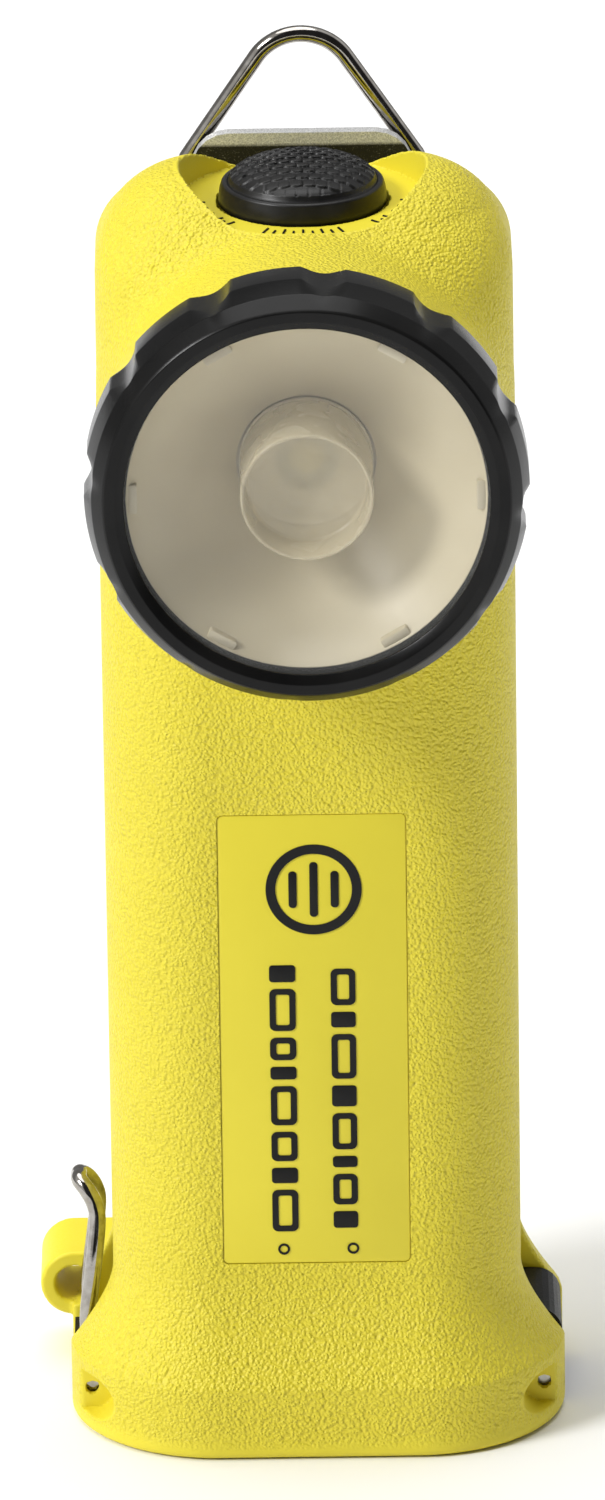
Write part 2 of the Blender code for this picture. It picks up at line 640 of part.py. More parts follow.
# ---------------------------------------------------------------- battery door and bail

def door_arm():
    """Side view of the arm that joins the door plate to its hinge knuckle."""
    root, inset = 0.0180, 0.0002
    points = [(root, inset), (PIVOT_X, inset), (PIVOT_X + 0.0020, inset + 0.0016)]
    points += arc((PIVOT_X, PIVOT_Z), KNUCKLE_RADIUS, -20, 180, 10)
    points += [(PIVOT_X - KNUCKLE_RADIUS, DOOR_THICKNESS - inset), (root, DOOR_THICKNESS - inset)]
    return points


def door_catch():
    """Side view of the upright catch on the door's free end."""
    root, inset, outer, top = -0.0200, 0.0002, -0.0331, 0.0080
    return [(root, inset), (outer + 0.0008, inset), (outer, inset + 0.0010), (outer, top),
            (outer + 0.0015, top), (outer + 0.0028, DOOR_THICKNESS - inset),
            (root, DOOR_THICKNESS - inset)]


def make_door():
    """Door plate with a raised boss, a gasket groove, a hinge knuckle and a catch."""
    left = DOOR_RECESS_X - GAP
    right = 0.0246
    centre = (right - left) / 2
    plate = rounded_rectangle((right + left) / 2, DOOR_RECESS_Y - GAP, DOOR_RECESS_CORNER - GAP, 4)
    obj = place(prism([(x + centre, y) for x, y in plate], "XY", 0.0, DOOR_THICKNESS),
                "battery_door", BLACK, (PIVOT_X, 0, PIVOT_Z))
    add(obj, prism(boss_outline(0.0, 4), "XY", DOOR_THICKNESS - 0.001, BOSS_TOP))
    arm_half = SLOT_WIDTH / 2 - GAP
    add(obj, prism(door_arm(), "XZ", -arm_half, arm_half))
    add(obj, prism(door_catch(), "XZ", -CATCH_HALF, CATCH_HALF))
    groove_depth, past_boss = 0.0008, 0.0012
    cut(obj, band(boss_outline(past_boss, 4), boss_outline(-groove_depth, 4),
                  DOOR_THICKNESS + GASKET_LOW - GAP, BOSS_TOP - GASKET_DROP + GAP))
    cut(obj, rod(PIN_RADIUS + GAP, (PIVOT_X, -SLOT_WIDTH, PIVOT_Z), (PIVOT_X, SLOT_WIDTH, PIVOT_Z),
                 20))


def boss_outline(growth, steps):
    """Outline of the door's raised boss, grown by a distance."""
    half_width, half_depth, corner = 0.0228, 0.0174, 0.0095
    return rounded_rectangle(half_width + growth, half_depth + growth, corner + growth, steps)


def band(outer, inner, low, high):
    """Flat ring between two outlines with the same number of points."""
    bm = bmesh.new()
    loops = [[bm.verts.new((x, y, z)) for x, y in outline]
             for outline, z in ((outer, low), (outer, high), (inner, high), (inner, low))]
    count = len(outer)
    for this, following in zip(loops, loops[1:] + loops[:1]):
        for i in range(count):
            j = (i + 1) % count
            bm.faces.new((this[i], this[j], following[j], following[i]))
    return bm


def make_door_fittings():
    """Gasket round the boss, and the sprung contact strip on top of it."""
    pivot = (PIVOT_X, 0, PIVOT_Z)
    reach, inset = 0.0012, 0.0005
    place(band(boss_outline(reach, 6), boss_outline(-inset, 6), DOOR_THICKNESS + GASKET_LOW,
               BOSS_TOP - GASKET_DROP), "door_gasket", RUBBER, pivot)
    strip = rounded_rectangle(0.0165, 0.0042, 0.0040, 4)
    strip_low = BOSS_TOP + GAP
    strip_top = strip_low + 0.0004
    place(prism(strip, "XY", strip_low, strip_top), "door_contact", BRASS, pivot)
    seat = strip_top + GAP
    screw_radius, screw_top_radius, screw_height, screw_x = 0.0016, 0.0012, 0.0006, 0.0040
    spring_wire, spring_radius, spring_length, turns = 0.0003, 0.0024, 0.0022, 3
    for number, side in enumerate((-1, 1), 1):
        screw = [(0, seat), (screw_radius, seat), (screw_top_radius, seat + screw_height),
                 (0, seat + screw_height + 0.0001)]
        place(turned(screw, (side * screw_x, 0, 0), (0, 0, 1), 12), "contact_screw_%d" % number,
              STEEL, pivot)
        loops = coil((side * CELL_X, 0, seat + spring_wire), spring_radius, spring_length, turns)
        wire("contact_spring_%d" % number, loops, spring_wire, STEEL, pivot)


def make_hinge_pin():
    front, back = -0.0128, 0.0134
    place(rod(PIN_RADIUS, (PIVOT_X, front, PIVOT_Z), (PIVOT_X, back, PIVOT_Z), 16),
          "hinge_pin", STEEL)


def make_bail():
    """Stainless wire bail: legs that close to a narrow loop, and a crown that curls outwards."""
    foot = (-PIVOT_X, PIVOT_Z)
    leg = [(-0.0312, BAIL_LEG_Y, 0.0121), (-0.0303, 0.0050, 0.0196), (-0.0297, 0.0038, 0.0252),
           (-0.0300, 0.0032, 0.0276), (-0.0310, 0.0026, 0.0295)]
    crown = (-0.0320, 0.0305)
    tip_y, end_y, bend = 0.0014, 0.0128, 0.0012
    half = [(foot[0], end_y, foot[1]), (foot[0], BAIL_LEG_Y + bend, foot[1]),
            (foot[0] - 0.0001, BAIL_LEG_Y + GAP, foot[1] + 0.0005)]
    half += leg + [(crown[0], tip_y, crown[1])]
    middle = [(crown[0] - 0.0001, 0, crown[1] + 0.0001)]
    mirrored = [(x, -y, z) for x, y, z in half]
    wire("wire_bail", mirrored + middle + half[::-1], WIRE_RADIUS, STEEL, (-PIVOT_X, 0, PIVOT_Z),
         resolution=2)


# ---------------------------------------------------------------- batteries

def make_cell(number, x, level):
    """Round cell standing on level, with a raised button contact on top."""
    bead, nub_height, nub_radius, nub_top_radius = 0.0008, 0.0010, 0.0050, 0.0048
    top = level + CELL_LENGTH
    can_top = top - nub_height
    outline = [(0, level), (CELL_RADIUS - bead, level), (CELL_RADIUS, level + bead),
               (CELL_RADIUS, can_top - bead), (CELL_RADIUS - bead, can_top), (nub_radius, can_top),
               (nub_top_radius, top), (0, top)]
    place(turned(outline, (x, 0, 0), (0, 0, 1), 18), "cell_%d" % number, CELL_SLEEVE)


def make_batteries():
    """Carrier with two layers of two cells; returns the height of its top."""
    wall = 0.0012
    first = CARRIER_BOTTOM + wall + GAP
    second = first + CELL_LENGTH + 2 * GAP + wall
    top = second + CELL_LENGTH + GAP + wall
    half_x, half_y, corner = 0.0240, 0.0130, 0.0100
    obj = place(prism(rounded_rectangle(half_x, half_y, corner, 5), "XY", CARRIER_BOTTOM, top),
                "battery_carrier", BLACK)
    number = 0
    for level in (first, second):
        for side in (-1, 1):
            number += 1
            x = side * CELL_X
            low, high = level - GAP, level + CELL_LENGTH + GAP
            cut(obj, rod(CELL_RADIUS + GAP, (x, 0, low), (x, 0, high), 18))
            make_cell(number, x, level)
    # open the front and the back of the carrier so that the cells can be changed
    window_x, rib, end = 0.0225, 0.0062, 0.003
    for near, far in ((-BAY_DEPTH, -rib), (rib, BAY_DEPTH)):
        for level in (first, second):
            cut(obj, block((-window_x, near, level + end), (window_x, far, level + CELL_LENGTH - end)))
    return top


def make_bay_contacts(carrier_top):
    """Insulator with two strip contacts on the ceiling of the battery bay."""
    board_high = BAY_TOP - GAP
    board_low = board_high - 0.0016
    place(prism(rounded_rectangle(0.0220, 0.0150, 0.0060, 4), "XY", board_low, board_high),
          "bay_insulator", BOARD)
    contact_wire, contact_radius, turns = 0.0004, 0.0042, 3
    start = carrier_top + GAP + contact_wire
    length = board_low - GAP - contact_wire - start
    for number, side in enumerate((-1, 1), 1):
        loops = coil((side * CELL_X, 0, start), contact_radius, length, turns, 10)
        wire("bay_contact_%d" % number, loops, contact_wire, BRASS)


def main():
    for old in list(bpy.data.objects):
        bpy.data.objects.remove(old)
    make_housing()
    make_hinge_block()
    make_bezel()
    make_lens_stack()
    make_reflector()
    make_lamp()
    make_button()
    make_switch()
    make_leads()
    make_clip_plate()
    make_clip_screws()
    make_belt_clip()
    make_clip_pivot()
    make_ring()
    make_door()
    make_door_fittings()
    make_hinge_pin()
    make_bail()
    make_bay_contacts(make_batteries())


main()
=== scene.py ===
"""Looks for the right-angle hand torch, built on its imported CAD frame.

Shapes are worked out in millimetres: the torch stands on z = 0, its lamp head faces -y
and the origin is the centre of its underside. The body is the zero surface of a distance
field, the other detailed pieces are turned, swept or extruded outlines.
"""

from contextlib import contextmanager
import math

import bmesh
import bpy
import numpy as np
from mathutils import Matrix, Vector


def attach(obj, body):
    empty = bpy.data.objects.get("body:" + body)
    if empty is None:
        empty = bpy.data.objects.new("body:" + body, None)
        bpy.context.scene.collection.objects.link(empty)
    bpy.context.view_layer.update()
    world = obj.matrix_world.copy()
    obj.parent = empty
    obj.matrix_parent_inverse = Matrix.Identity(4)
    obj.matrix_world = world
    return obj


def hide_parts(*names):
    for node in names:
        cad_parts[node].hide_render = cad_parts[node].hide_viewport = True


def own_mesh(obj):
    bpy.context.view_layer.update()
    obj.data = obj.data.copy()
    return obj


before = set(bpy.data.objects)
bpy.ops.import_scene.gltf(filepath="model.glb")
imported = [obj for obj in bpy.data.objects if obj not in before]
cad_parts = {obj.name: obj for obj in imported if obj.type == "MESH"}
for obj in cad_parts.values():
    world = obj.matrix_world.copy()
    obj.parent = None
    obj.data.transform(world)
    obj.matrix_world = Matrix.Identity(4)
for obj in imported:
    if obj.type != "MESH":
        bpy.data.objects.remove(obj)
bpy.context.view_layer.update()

MM = 0.001

# Body moulding
HEIGHT = 175.0
COLUMN = (27.6, 22.0, 14.0)          # half width, half depth, corner radius
BASE_GROWTH = (5.9, 5.0, 6.0)        # added to the column's figures at the base
WALL_TOP = 10.0
FLARE_KNEE = 17.5
FLARE_TOP_SIDE = 21.0
FLARE_TOP_FRONT = 25.0
DOME_SIDE = (13.0, 13.0)             # reach inwards, drop
DOME_FRONT = (20.0, 25.0)
BOTTOM_EDGE = 1.0

# Head, along its own centre line
HEAD_Z = 144.5
HEAD_CENTRE = (0, 0, HEAD_Z)
HEAD_AXIS = (0, -1, 0)
NECK_RADIUS = 26.0
NECK_BACK = 12.0
NECK_FRONT = 37.5
NOSE_RADIUS = 25.1
NOSE_FRONT = 44.6
SEAL_GROOVE = (24.1, 38.6, 40.0)     # radius of its floor, back, front
BEZEL_RADIUS = 29.0
BEZEL_BACK = 37.8
BEZEL_FRONT = 49.0
WINDOW_RADIUS = 23.5

# Switch on top
RECESS_RADIUS = 16.3
RECESS_FLOOR = 169.8
BUTTON_RADIUS = 11.2
SCALE_DEPTH = 0.40

# Slots, pivots and lanyard lug
SLOT_X = 27.6
SLOT_HALF = 7.45
SLOT_TOP = 32.0
PIVOT = (30.6, 5.4)                  # distance out from the middle, height
PIN_HOLE = (1.45, -13.1, 13.8)       # radius, front end, back end
SIGHT_HOLE = (0.9, -16.0, -13.0)
POCKET_RADIUS = 3.0
POCKET_FLOOR = -14.1
LUG = (-33.2, 11.0)
LUG_RADIUS = 4.6
LUG_HOLE = 2.6
LUG_FRONT = 8.6
LUG_BACK = 21.5

# Label panel on the front
PANEL_LEFT = -12.5
PANEL_RIGHT = 12.5
PANEL_LOW = 26.6
PANEL_HIGH = 91.0
PANEL_FACE = -21.88
PANEL_BACK = -21.57

# Spaces inside the moulding
HEAD_BORES = ((13.0, -10.0, 11.0), (19.5, 11.0, 24.0), (22.6, 24.0, 50.0))  # radius, back, front
SWITCH_WELLS = ((BUTTON_RADIUS + 0.3, 167.2), (9.5, 156.0))                 # radius, floor
SWITCH_WIRE_WAY = (3.0, HEAD_Z, 157.0)                                      # radius, low, high
BATTERY_WIRE_WAY = (4.0, 113.0, HEAD_Z)
BATTERY_BAY = (25.0, 19.0, 11.0)     # half width, half depth, corner radius
BATTERY_BAY_TOP = 114.0
DOOR_SEAT = (28.2, 22.2, 13.0)
DOOR_SEAT_TOP = 3.7

WIRE_RADIUS = 1.15


# ---- distance fields

def slab(value, low, high):
    return np.maximum(low - value, value - high)


def rounded_and(a, b, radius):
    """Intersection of two fields with its edge rounded."""
    inner = np.minimum(np.maximum(a, b), -radius)
    return inner + np.hypot(np.maximum(a + radius, 0), np.maximum(b + radius, 0))


def rounded_or(a, b, radius):
    return -rounded_and(-a, -b, radius)


def without(a, b, radius):
    """Field a with field b cut out of it, and the rim rounded."""
    return rounded_and(a, -b, radius)


def rectangle(x, y, half_x, half_y, corner):
    """Distance to a rectangle with round corners."""
    over_x = np.abs(x) - (half_x - corner)
    over_y = np.abs(y) - (half_y - corner)
    outside = np.hypot(np.maximum(over_x, 0), np.maximum(over_y, 0))
    return outside + np.minimum(np.maximum(over_x, over_y), 0) - corner


def plan_distance(x, y, z):
    """Distance, in the horizontal plane, to the moulding's outline at each height."""
    facing = np.clip(np.abs(y) / (COLUMN[1] + BASE_GROWTH[1] / 2), 0, 1)
    top = FLARE_TOP_SIDE + (FLARE_TOP_FRONT - FLARE_TOP_SIDE) * facing ** 2
    bend = WALL_TOP - 2 * FLARE_KNEE + top
    rate = 2 * (FLARE_KNEE - WALL_TOP)
    above = np.clip(z - WALL_TOP, 0, top - WALL_TOP)
    along = 2 * above / (rate + np.sqrt(np.maximum(rate ** 2 + 4 * bend * above, 0)))
    spread = (1 - np.clip(along, 0, 1)) ** 2
    half_x = COLUMN[0] + BASE_GROWTH[0] * spread
    half_y = COLUMN[1] + BASE_GROWTH[1] * spread
    corner = COLUMN[2] + BASE_GROWTH[2] * spread
    side = np.clip((z - HEIGHT + DOME_SIDE[1]) / DOME_SIDE[1], 0, 0.9999)
    front = np.clip((z - HEIGHT + DOME_FRONT[1]) / DOME_FRONT[1], 0, 0.9999)
    half_x = half_x - DOME_SIDE[0] * (1 - np.sqrt(1 - side ** 2))
    half_y = half_y - DOME_FRONT[0] * (1 - np.sqrt(1 - front ** 2))
    return rectangle(x, y, half_x, half_y, np.minimum(corner, half_y))


def outer_skin(x, y, z):
    """The grained outside: moulding with its dome, and the neck that carries the head."""
    height_step, neck_fillet = 0.25, 3.0
    flat = plan_distance(x, y, z)
    lean = plan_distance(x, y, z + height_step) - plan_distance(x, y, z - height_step)
    body = flat / np.sqrt(1 + (lean / (2 * height_step)) ** 2)
    body = np.maximum(body, z - HEIGHT)
    body = rounded_and(body, -z, BOTTOM_EDGE)
    forward = -y
    radial = np.hypot(x, z - HEAD_Z)
    neck = np.maximum(radial - NECK_RADIUS, slab(forward, NECK_BACK, NECK_FRONT))
    return rounded_or(body, neck, neck_fillet)


def lug_field(x, y, z):
    """Lanyard lug, which runs into the body on its right, and the hole through it."""
    past, edge = 2.0, 0.5
    run = np.minimum(x - LUG[0], 0)
    profile = np.hypot(run, z - LUG[1]) - LUG_RADIUS
    profile = np.maximum(profile, x - LUG[0] - LUG_RADIUS - past)
    solid = rounded_and(profile, slab(y, LUG_FRONT, LUG_BACK), edge)
    hole = np.hypot(x - LUG[0], z - LUG[1]) - LUG_HOLE
    return solid, np.maximum(hole, LUG_FRONT - past - y)


def nose_field(forward, radial):
    """Nose that carries the head ring, with the groove for its seal."""
    groove_radius, groove_back, groove_front = SEAL_GROOVE
    nose = np.maximum(radial - NOSE_RADIUS, slab(forward, NECK_BACK, NOSE_FRONT))
    groove = np.maximum(groove_radius - radial, slab(forward, groove_back, groove_front))
    return np.maximum(nose, -groove)


def inside_field(x, y, z, radial, around):
    """Every space inside: switch wells, head bores, wire ways, battery bay and door seat."""
    spaces = [np.maximum(around - radius, floor - z) for radius, floor in SWITCH_WELLS]
    for radius, back, front in HEAD_BORES:
        spaces.append(np.maximum(radial - radius, slab(-y, back, front)))
    radius, low, high = SWITCH_WIRE_WAY
    spaces.append(np.maximum(around - radius, slab(z, low, high)))
    radius, low, high = BATTERY_WIRE_WAY
    set_back = 3.0
    spaces.append(np.maximum(np.hypot(x, y - set_back) - radius, slab(z, low, high)))
    spaces.append(np.maximum(rectangle(x, y, *BATTERY_BAY), z - BATTERY_BAY_TOP))
    spaces.append(np.maximum(rectangle(x, y, *DOOR_SEAT), z - DOOR_SEAT_TOP))
    return np.minimum.reduce(spaces)


def housing_field(x, y, z):
    """The whole yellow moulding, hollow and with every opening."""
    rim, slot_rim, lug_rim, lug_fillet = 0.3, 0.35, 0.4, 0.5
    radial = np.hypot(x, z - HEAD_Z)
    around = np.hypot(x, y)
    solid = np.minimum(outer_skin(x, y, z), nose_field(-y, radial))
    disc_low = 158.0
    disc = np.maximum(around - RECESS_RADIUS, slab(z, disc_low, RECESS_FLOOR))
    solid = np.minimum(solid, disc)
    lug, lug_hole = lug_field(x, y, z)
    solid = rounded_or(solid, lug, lug_fillet)
    solid = without(solid, lug_hole, lug_rim)
    recess = np.maximum(around - RECESS_RADIUS, RECESS_FLOOR - z)
    solid = without(solid, recess, rim)
    solid = np.maximum(solid, -inside_field(x, y, z, radial, around))

    out = np.abs(x)
    slot = np.maximum(np.maximum(SLOT_X - out, np.abs(y) - SLOT_HALF), z - SLOT_TOP)
    solid = without(solid, slot, slot_rim)
    pivot = np.hypot(out - PIVOT[0], z - PIVOT[1])
    solid = without(solid, np.maximum(pivot - POCKET_RADIUS, y - POCKET_FLOOR), rim)
    for radius, front, back in (PIN_HOLE, SIGHT_HOLE):
        solid = np.maximum(solid, -np.maximum(pivot - radius, slab(y, front, back)))
    return solid


# ---- surface of a field

def sampled(field, places):
    """Field values at places, worked out in batches."""
    batch = 400000
    parts = [field(*places[i:i + batch].T) for i in range(0, len(places), batch)]
    return np.concatenate(parts)


def field_grid(field, low, high, step):
    """Field values on a grid. Blocks of cells far from the surface keep one value each."""
    block = 8
    blocks = np.ceil((np.array(high) - low) / (step * block)).astype(int)
    centres = np.stack(np.meshgrid(*[np.arange(n) for n in blocks], indexing="ij"), -1)
    centres = low + (centres.reshape(-1, 3) * block + (block - 1) / 2) * step
    coarse = sampled(field, centres).reshape(blocks)
    values = coarse.astype(np.float32)
    margin = 1.4                     # in blocks, more than half a block's diagonal
    near = np.abs(coarse) < block * step * margin
    for axis in range(3):
        values = np.repeat(values, block, axis=axis)
        near = np.repeat(near, block, axis=axis)
    cells = np.argwhere(near)
    values[tuple(cells.T)] = sampled(field, low + cells * step)
    return values


def surface_net(values, low, step):
    """Vertices and quads of the surface where the gridded values change sign."""
    shape = np.array(values.shape)
    inside = values < 0
    sums, owners, quads = [], [], []
    strides = np.array([shape[1] * shape[2], shape[2], 1])
    for axis in range(3):
        first = [slice(None)] * 3
        second = [slice(None)] * 3
        first[axis] = slice(None, -1)
        second[axis] = slice(1, None)
        change = inside[tuple(first)] != inside[tuple(second)]
        start = np.argwhere(change)
        end = start.copy()
        end[:, axis] += 1
        value_start = values[tuple(start.T)]
        value_end = values[tuple(end.T)]
        crossing = start.astype(float)
        crossing[:, axis] += value_start / (value_start - value_end)
        side_a, side_b = [(1, 2), (2, 0), (0, 1)][axis]
        cells = []
        for back_a, back_b in ((0, 0), (1, 0), (1, 1), (0, 1)):
            cell = start.copy()
            cell[:, side_a] -= back_a
            cell[:, side_b] -= back_b
            cells.append(cell @ strides)
            owners.append(cells[-1])
            sums.append(crossing)
        ring = np.stack(cells, 1)
        outward = value_start < 0
        quads.append(np.where(outward[:, None], ring, ring[:, ::-1]))
    owners = np.concatenate(owners)
    sums = np.concatenate(sums)
    used, index = np.unique(owners, return_inverse=True)
    counts = np.bincount(index)
    places = np.stack([np.bincount(index, sums[:, k]) / counts for k in range(3)], 1)
    faces = np.searchsorted(used, np.concatenate(quads))
    return low + places * step, faces


def slope(field, places, reach):
    """Mean value and gradient of a field from four points round each place."""
    corners = np.array([(1, 1, 1), (1, -1, -1), (-1, 1, -1), (-1, -1, 1)], float)
    total = 0
    gradient = 0
    for corner in corners:
        value = sampled(field, places + corner * reach)
        total = total + value / 4
        gradient = gradient + value[:, None] * corner / (4 * reach)
    return total, gradient


def settle(field, places, rounds, longest):
    """Move places onto the zero surface of a field."""
    reach, least_steepness = 0.02, 0.1
    for _ in range(rounds):
        value, gradient = slope(field, places, reach)
        steepness = np.maximum((gradient ** 2).sum(1), least_steepness)
        move = -gradient * (value / steepness)[:, None]
        length = np.linalg.norm(move, axis=1, keepdims=True)
        places = places + move * np.minimum(1, longest / np.maximum(length, 1e-9))
    return places


# ---- mesh helpers

def add_object(name, data):
    """New object in the scene."""
    obj = bpy.data.objects.new(name, data)
    bpy.context.scene.collection.objects.link(obj)
    return obj


def link_mesh(name, verts, faces):
    """Object from vertices in millimetres."""
    mesh = bpy.data.meshes.new(name)
    mesh.from_pydata((np.array(verts, float) * MM).tolist(), [], [list(f) for f in faces])
    mesh.validate()
    return add_object(name, mesh)


@contextmanager
def editing(mesh):
    """A mesh opened for editing, and written back afterwards."""
    bm = bmesh.new()
    bm.from_mesh(mesh)
    yield bm
    bm.to_mesh(mesh)
    bm.free()


def vertex_places(mesh):
    """Vertices of a mesh in millimetres."""
    flat = np.empty(len(mesh.vertices) * 3, np.float32)
    mesh.vertices.foreach_get("co", flat)
    return flat.reshape(-1, 3).astype(float) / MM


def smooth(obj, sharp_deg=35):
    """Smooth shading, with edges sharper than an angle kept crisp."""
    obj.data.shade_smooth()
    obj.data.set_sharp_from_angle(angle=math.radians(sharp_deg))


def evaluated_mesh(obj):
    """New mesh of an object as its modifiers or curve settings make it."""
    graph = bpy.context.evaluated_depsgraph_get()
    return bpy.data.meshes.new_from_object(obj.evaluated_get(graph))


def bake_modifiers(obj):
    """Replace an object's mesh by what its modifiers make of it."""
    made = evaluated_mesh(obj)
    old = obj.data
    obj.modifiers.clear()
    obj.data = made
    bpy.data.meshes.remove(old)
    made.name = obj.name


def finish_piece(obj, body, slot, finishes, *stands_for):
    """Give a piece its material, its CAD body and the nodes that it stands for."""
    obj.data.materials.clear()
    obj.data.materials.append(finishes[slot])
    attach(obj, body)
    if stands_for:
        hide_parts(*stands_for)


def arc(centre, radius, start_deg, end_deg, steps):
    """Points of a circular arc in a plane."""
    angles = np.radians(np.linspace(start_deg, end_deg, steps + 1))
    return [(centre[0] + radius * math.cos(a), centre[1] + radius * math.sin(a)) for a in angles]


def softened(outline, radius, steps=3):
    """Closed outline with each corner replaced by a short curve of about that radius."""
    points = [Vector(p) for p in outline]
    result = []
    for i, corner in enumerate(points):
        before = points[i - 1] - corner
        after = points[(i + 1) % len(points)] - corner
        cut_back = min(radius, 0.45 * before.length, 0.45 * after.length)
        start = corner + before.normalized() * cut_back
        end = corner + after.normalized() * cut_back
        for k in range(steps + 1):
            t = k / steps
            point = start * (1 - t) ** 2 + corner * 2 * t * (1 - t) + end * t ** 2
            result.append((point.x, point.y))
    return result


def turned(name, outline, centre, axis, steps, shape=None, corner=0.0, sharp_deg=35):
    """Closed outline of (radius, height) turned round an axis; shape may alter each point."""
    if corner:
        outline = softened(outline, corner)
    turn = Vector((0, 0, 1)).rotation_difference(Vector(axis)).to_matrix()
    verts = []
    count = len(outline)
    for i in range(steps):
        angle = math.tau * i / steps
        for radius, height in outline:
            if shape:
                radius, height = shape(radius, height, angle)
            place = Vector((radius * math.cos(angle), radius * math.sin(angle), height))
            verts.append(Vector(centre) + turn @ place)
    faces = []
    for i in range(steps):
        j = (i + 1) % steps
        for k in range(count):
            m = (k + 1) % count
            faces.append((i * count + k, j * count + k, j * count + m, i * count + m))
    obj = link_mesh(name, verts, faces)
    tiny = 1e-7
    with editing(obj.data) as bm:
        bmesh.ops.remove_doubles(bm, verts=bm.verts, dist=tiny)
        bmesh.ops.dissolve_degenerate(bm, edges=bm.edges, dist=tiny)
        bmesh.ops.recalc_face_normals(bm, faces=bm.faces)
    smooth(obj, sharp_deg)
    return obj


def swept(name, points, radius, sides=20, closed=False):
    """Round wire along a path, with flat ends where it is open."""
    curve = bpy.data.curves.new(name, "CURVE")
    curve.dimensions = "3D"
    curve.bevel_depth = radius * MM
    curve.bevel_resolution = sides // 4
    curve.use_fill_caps = True
    spline = curve.splines.new("POLY")
    spline.points.add(len(points) - 1)
    for target, place in zip(spline.points, points):
        target.co = (place[0] * MM, place[1] * MM, place[2] * MM, 1)
    spline.use_cyclic_u = closed
    obj = add_object(name, curve)
    mesh = evaluated_mesh(obj)
    bpy.data.objects.remove(obj)
    bpy.data.curves.remove(curve)
    made = add_object(name, mesh)
    smooth(made, sharp_deg=50)
    return made


def extruded(name, outline, plane, low, high, bevel=0.15, segments=2):
    """Outline in the XY or XZ plane made solid from low to high, with soft edges."""
    lift = {"XY": lambda a, b, c: (a, b, c), "XZ": lambda a, b, c: (a, c, b)}[plane]
    count = len(outline)
    verts = [lift(a, b, low) for a, b in outline] + [lift(a, b, high) for a, b in outline]
    faces = [tuple(range(count)), tuple(range(count, 2 * count))]
    for i in range(count):
        j = (i + 1) % count
        faces.append((i, j, count + j, count + i))
    obj = link_mesh(name, verts, faces)
    least_angle = math.radians(40)
    with editing(obj.data) as bm:
        bmesh.ops.recalc_face_normals(bm, faces=bm.faces)
        if bevel:
            sharp = [e for e in bm.edges if e.calc_face_angle(0) > least_angle]
            bmesh.ops.bevel(bm, geom=sharp, offset=bevel * MM, segments=segments, affect="EDGES",
                            profile=0.5, clamp_overlap=True)
    smooth(obj)
    return obj


def merged(name, objects):
    """One object from several whose materials and body are the same."""
    bm = bmesh.new()
    for part in objects:
        bm.from_mesh(part.data)
        old = part.data
        bpy.data.objects.remove(part)
        bpy.data.meshes.remove(old)
    mesh = bpy.data.meshes.new(name)
    bm.to_mesh(mesh)
    bm.free()
    obj = add_object(name, mesh)
    smooth(obj)
    return obj


def rounded_box(low, high, corner):
    """Outline of a rectangle with round corners in a plane."""
    middle = ((low[0] + high[0]) / 2, (low[1] + high[1]) / 2)
    half = ((high[0] - low[0]) / 2, (high[1] - low[1]) / 2)
    corner = min(corner, 0.999 * min(half))
    points = []
    for sign_x, sign_y, start in ((1, 1, 0), (-1, 1, 90), (-1, -1, 180), (1, -1, 270)):
        centre = (middle[0] + sign_x * (half[0] - corner), middle[1] + sign_y * (half[1] - corner))
        points += arc(centre, corner, start, start + 90, 5)
    return points


# ---- materials

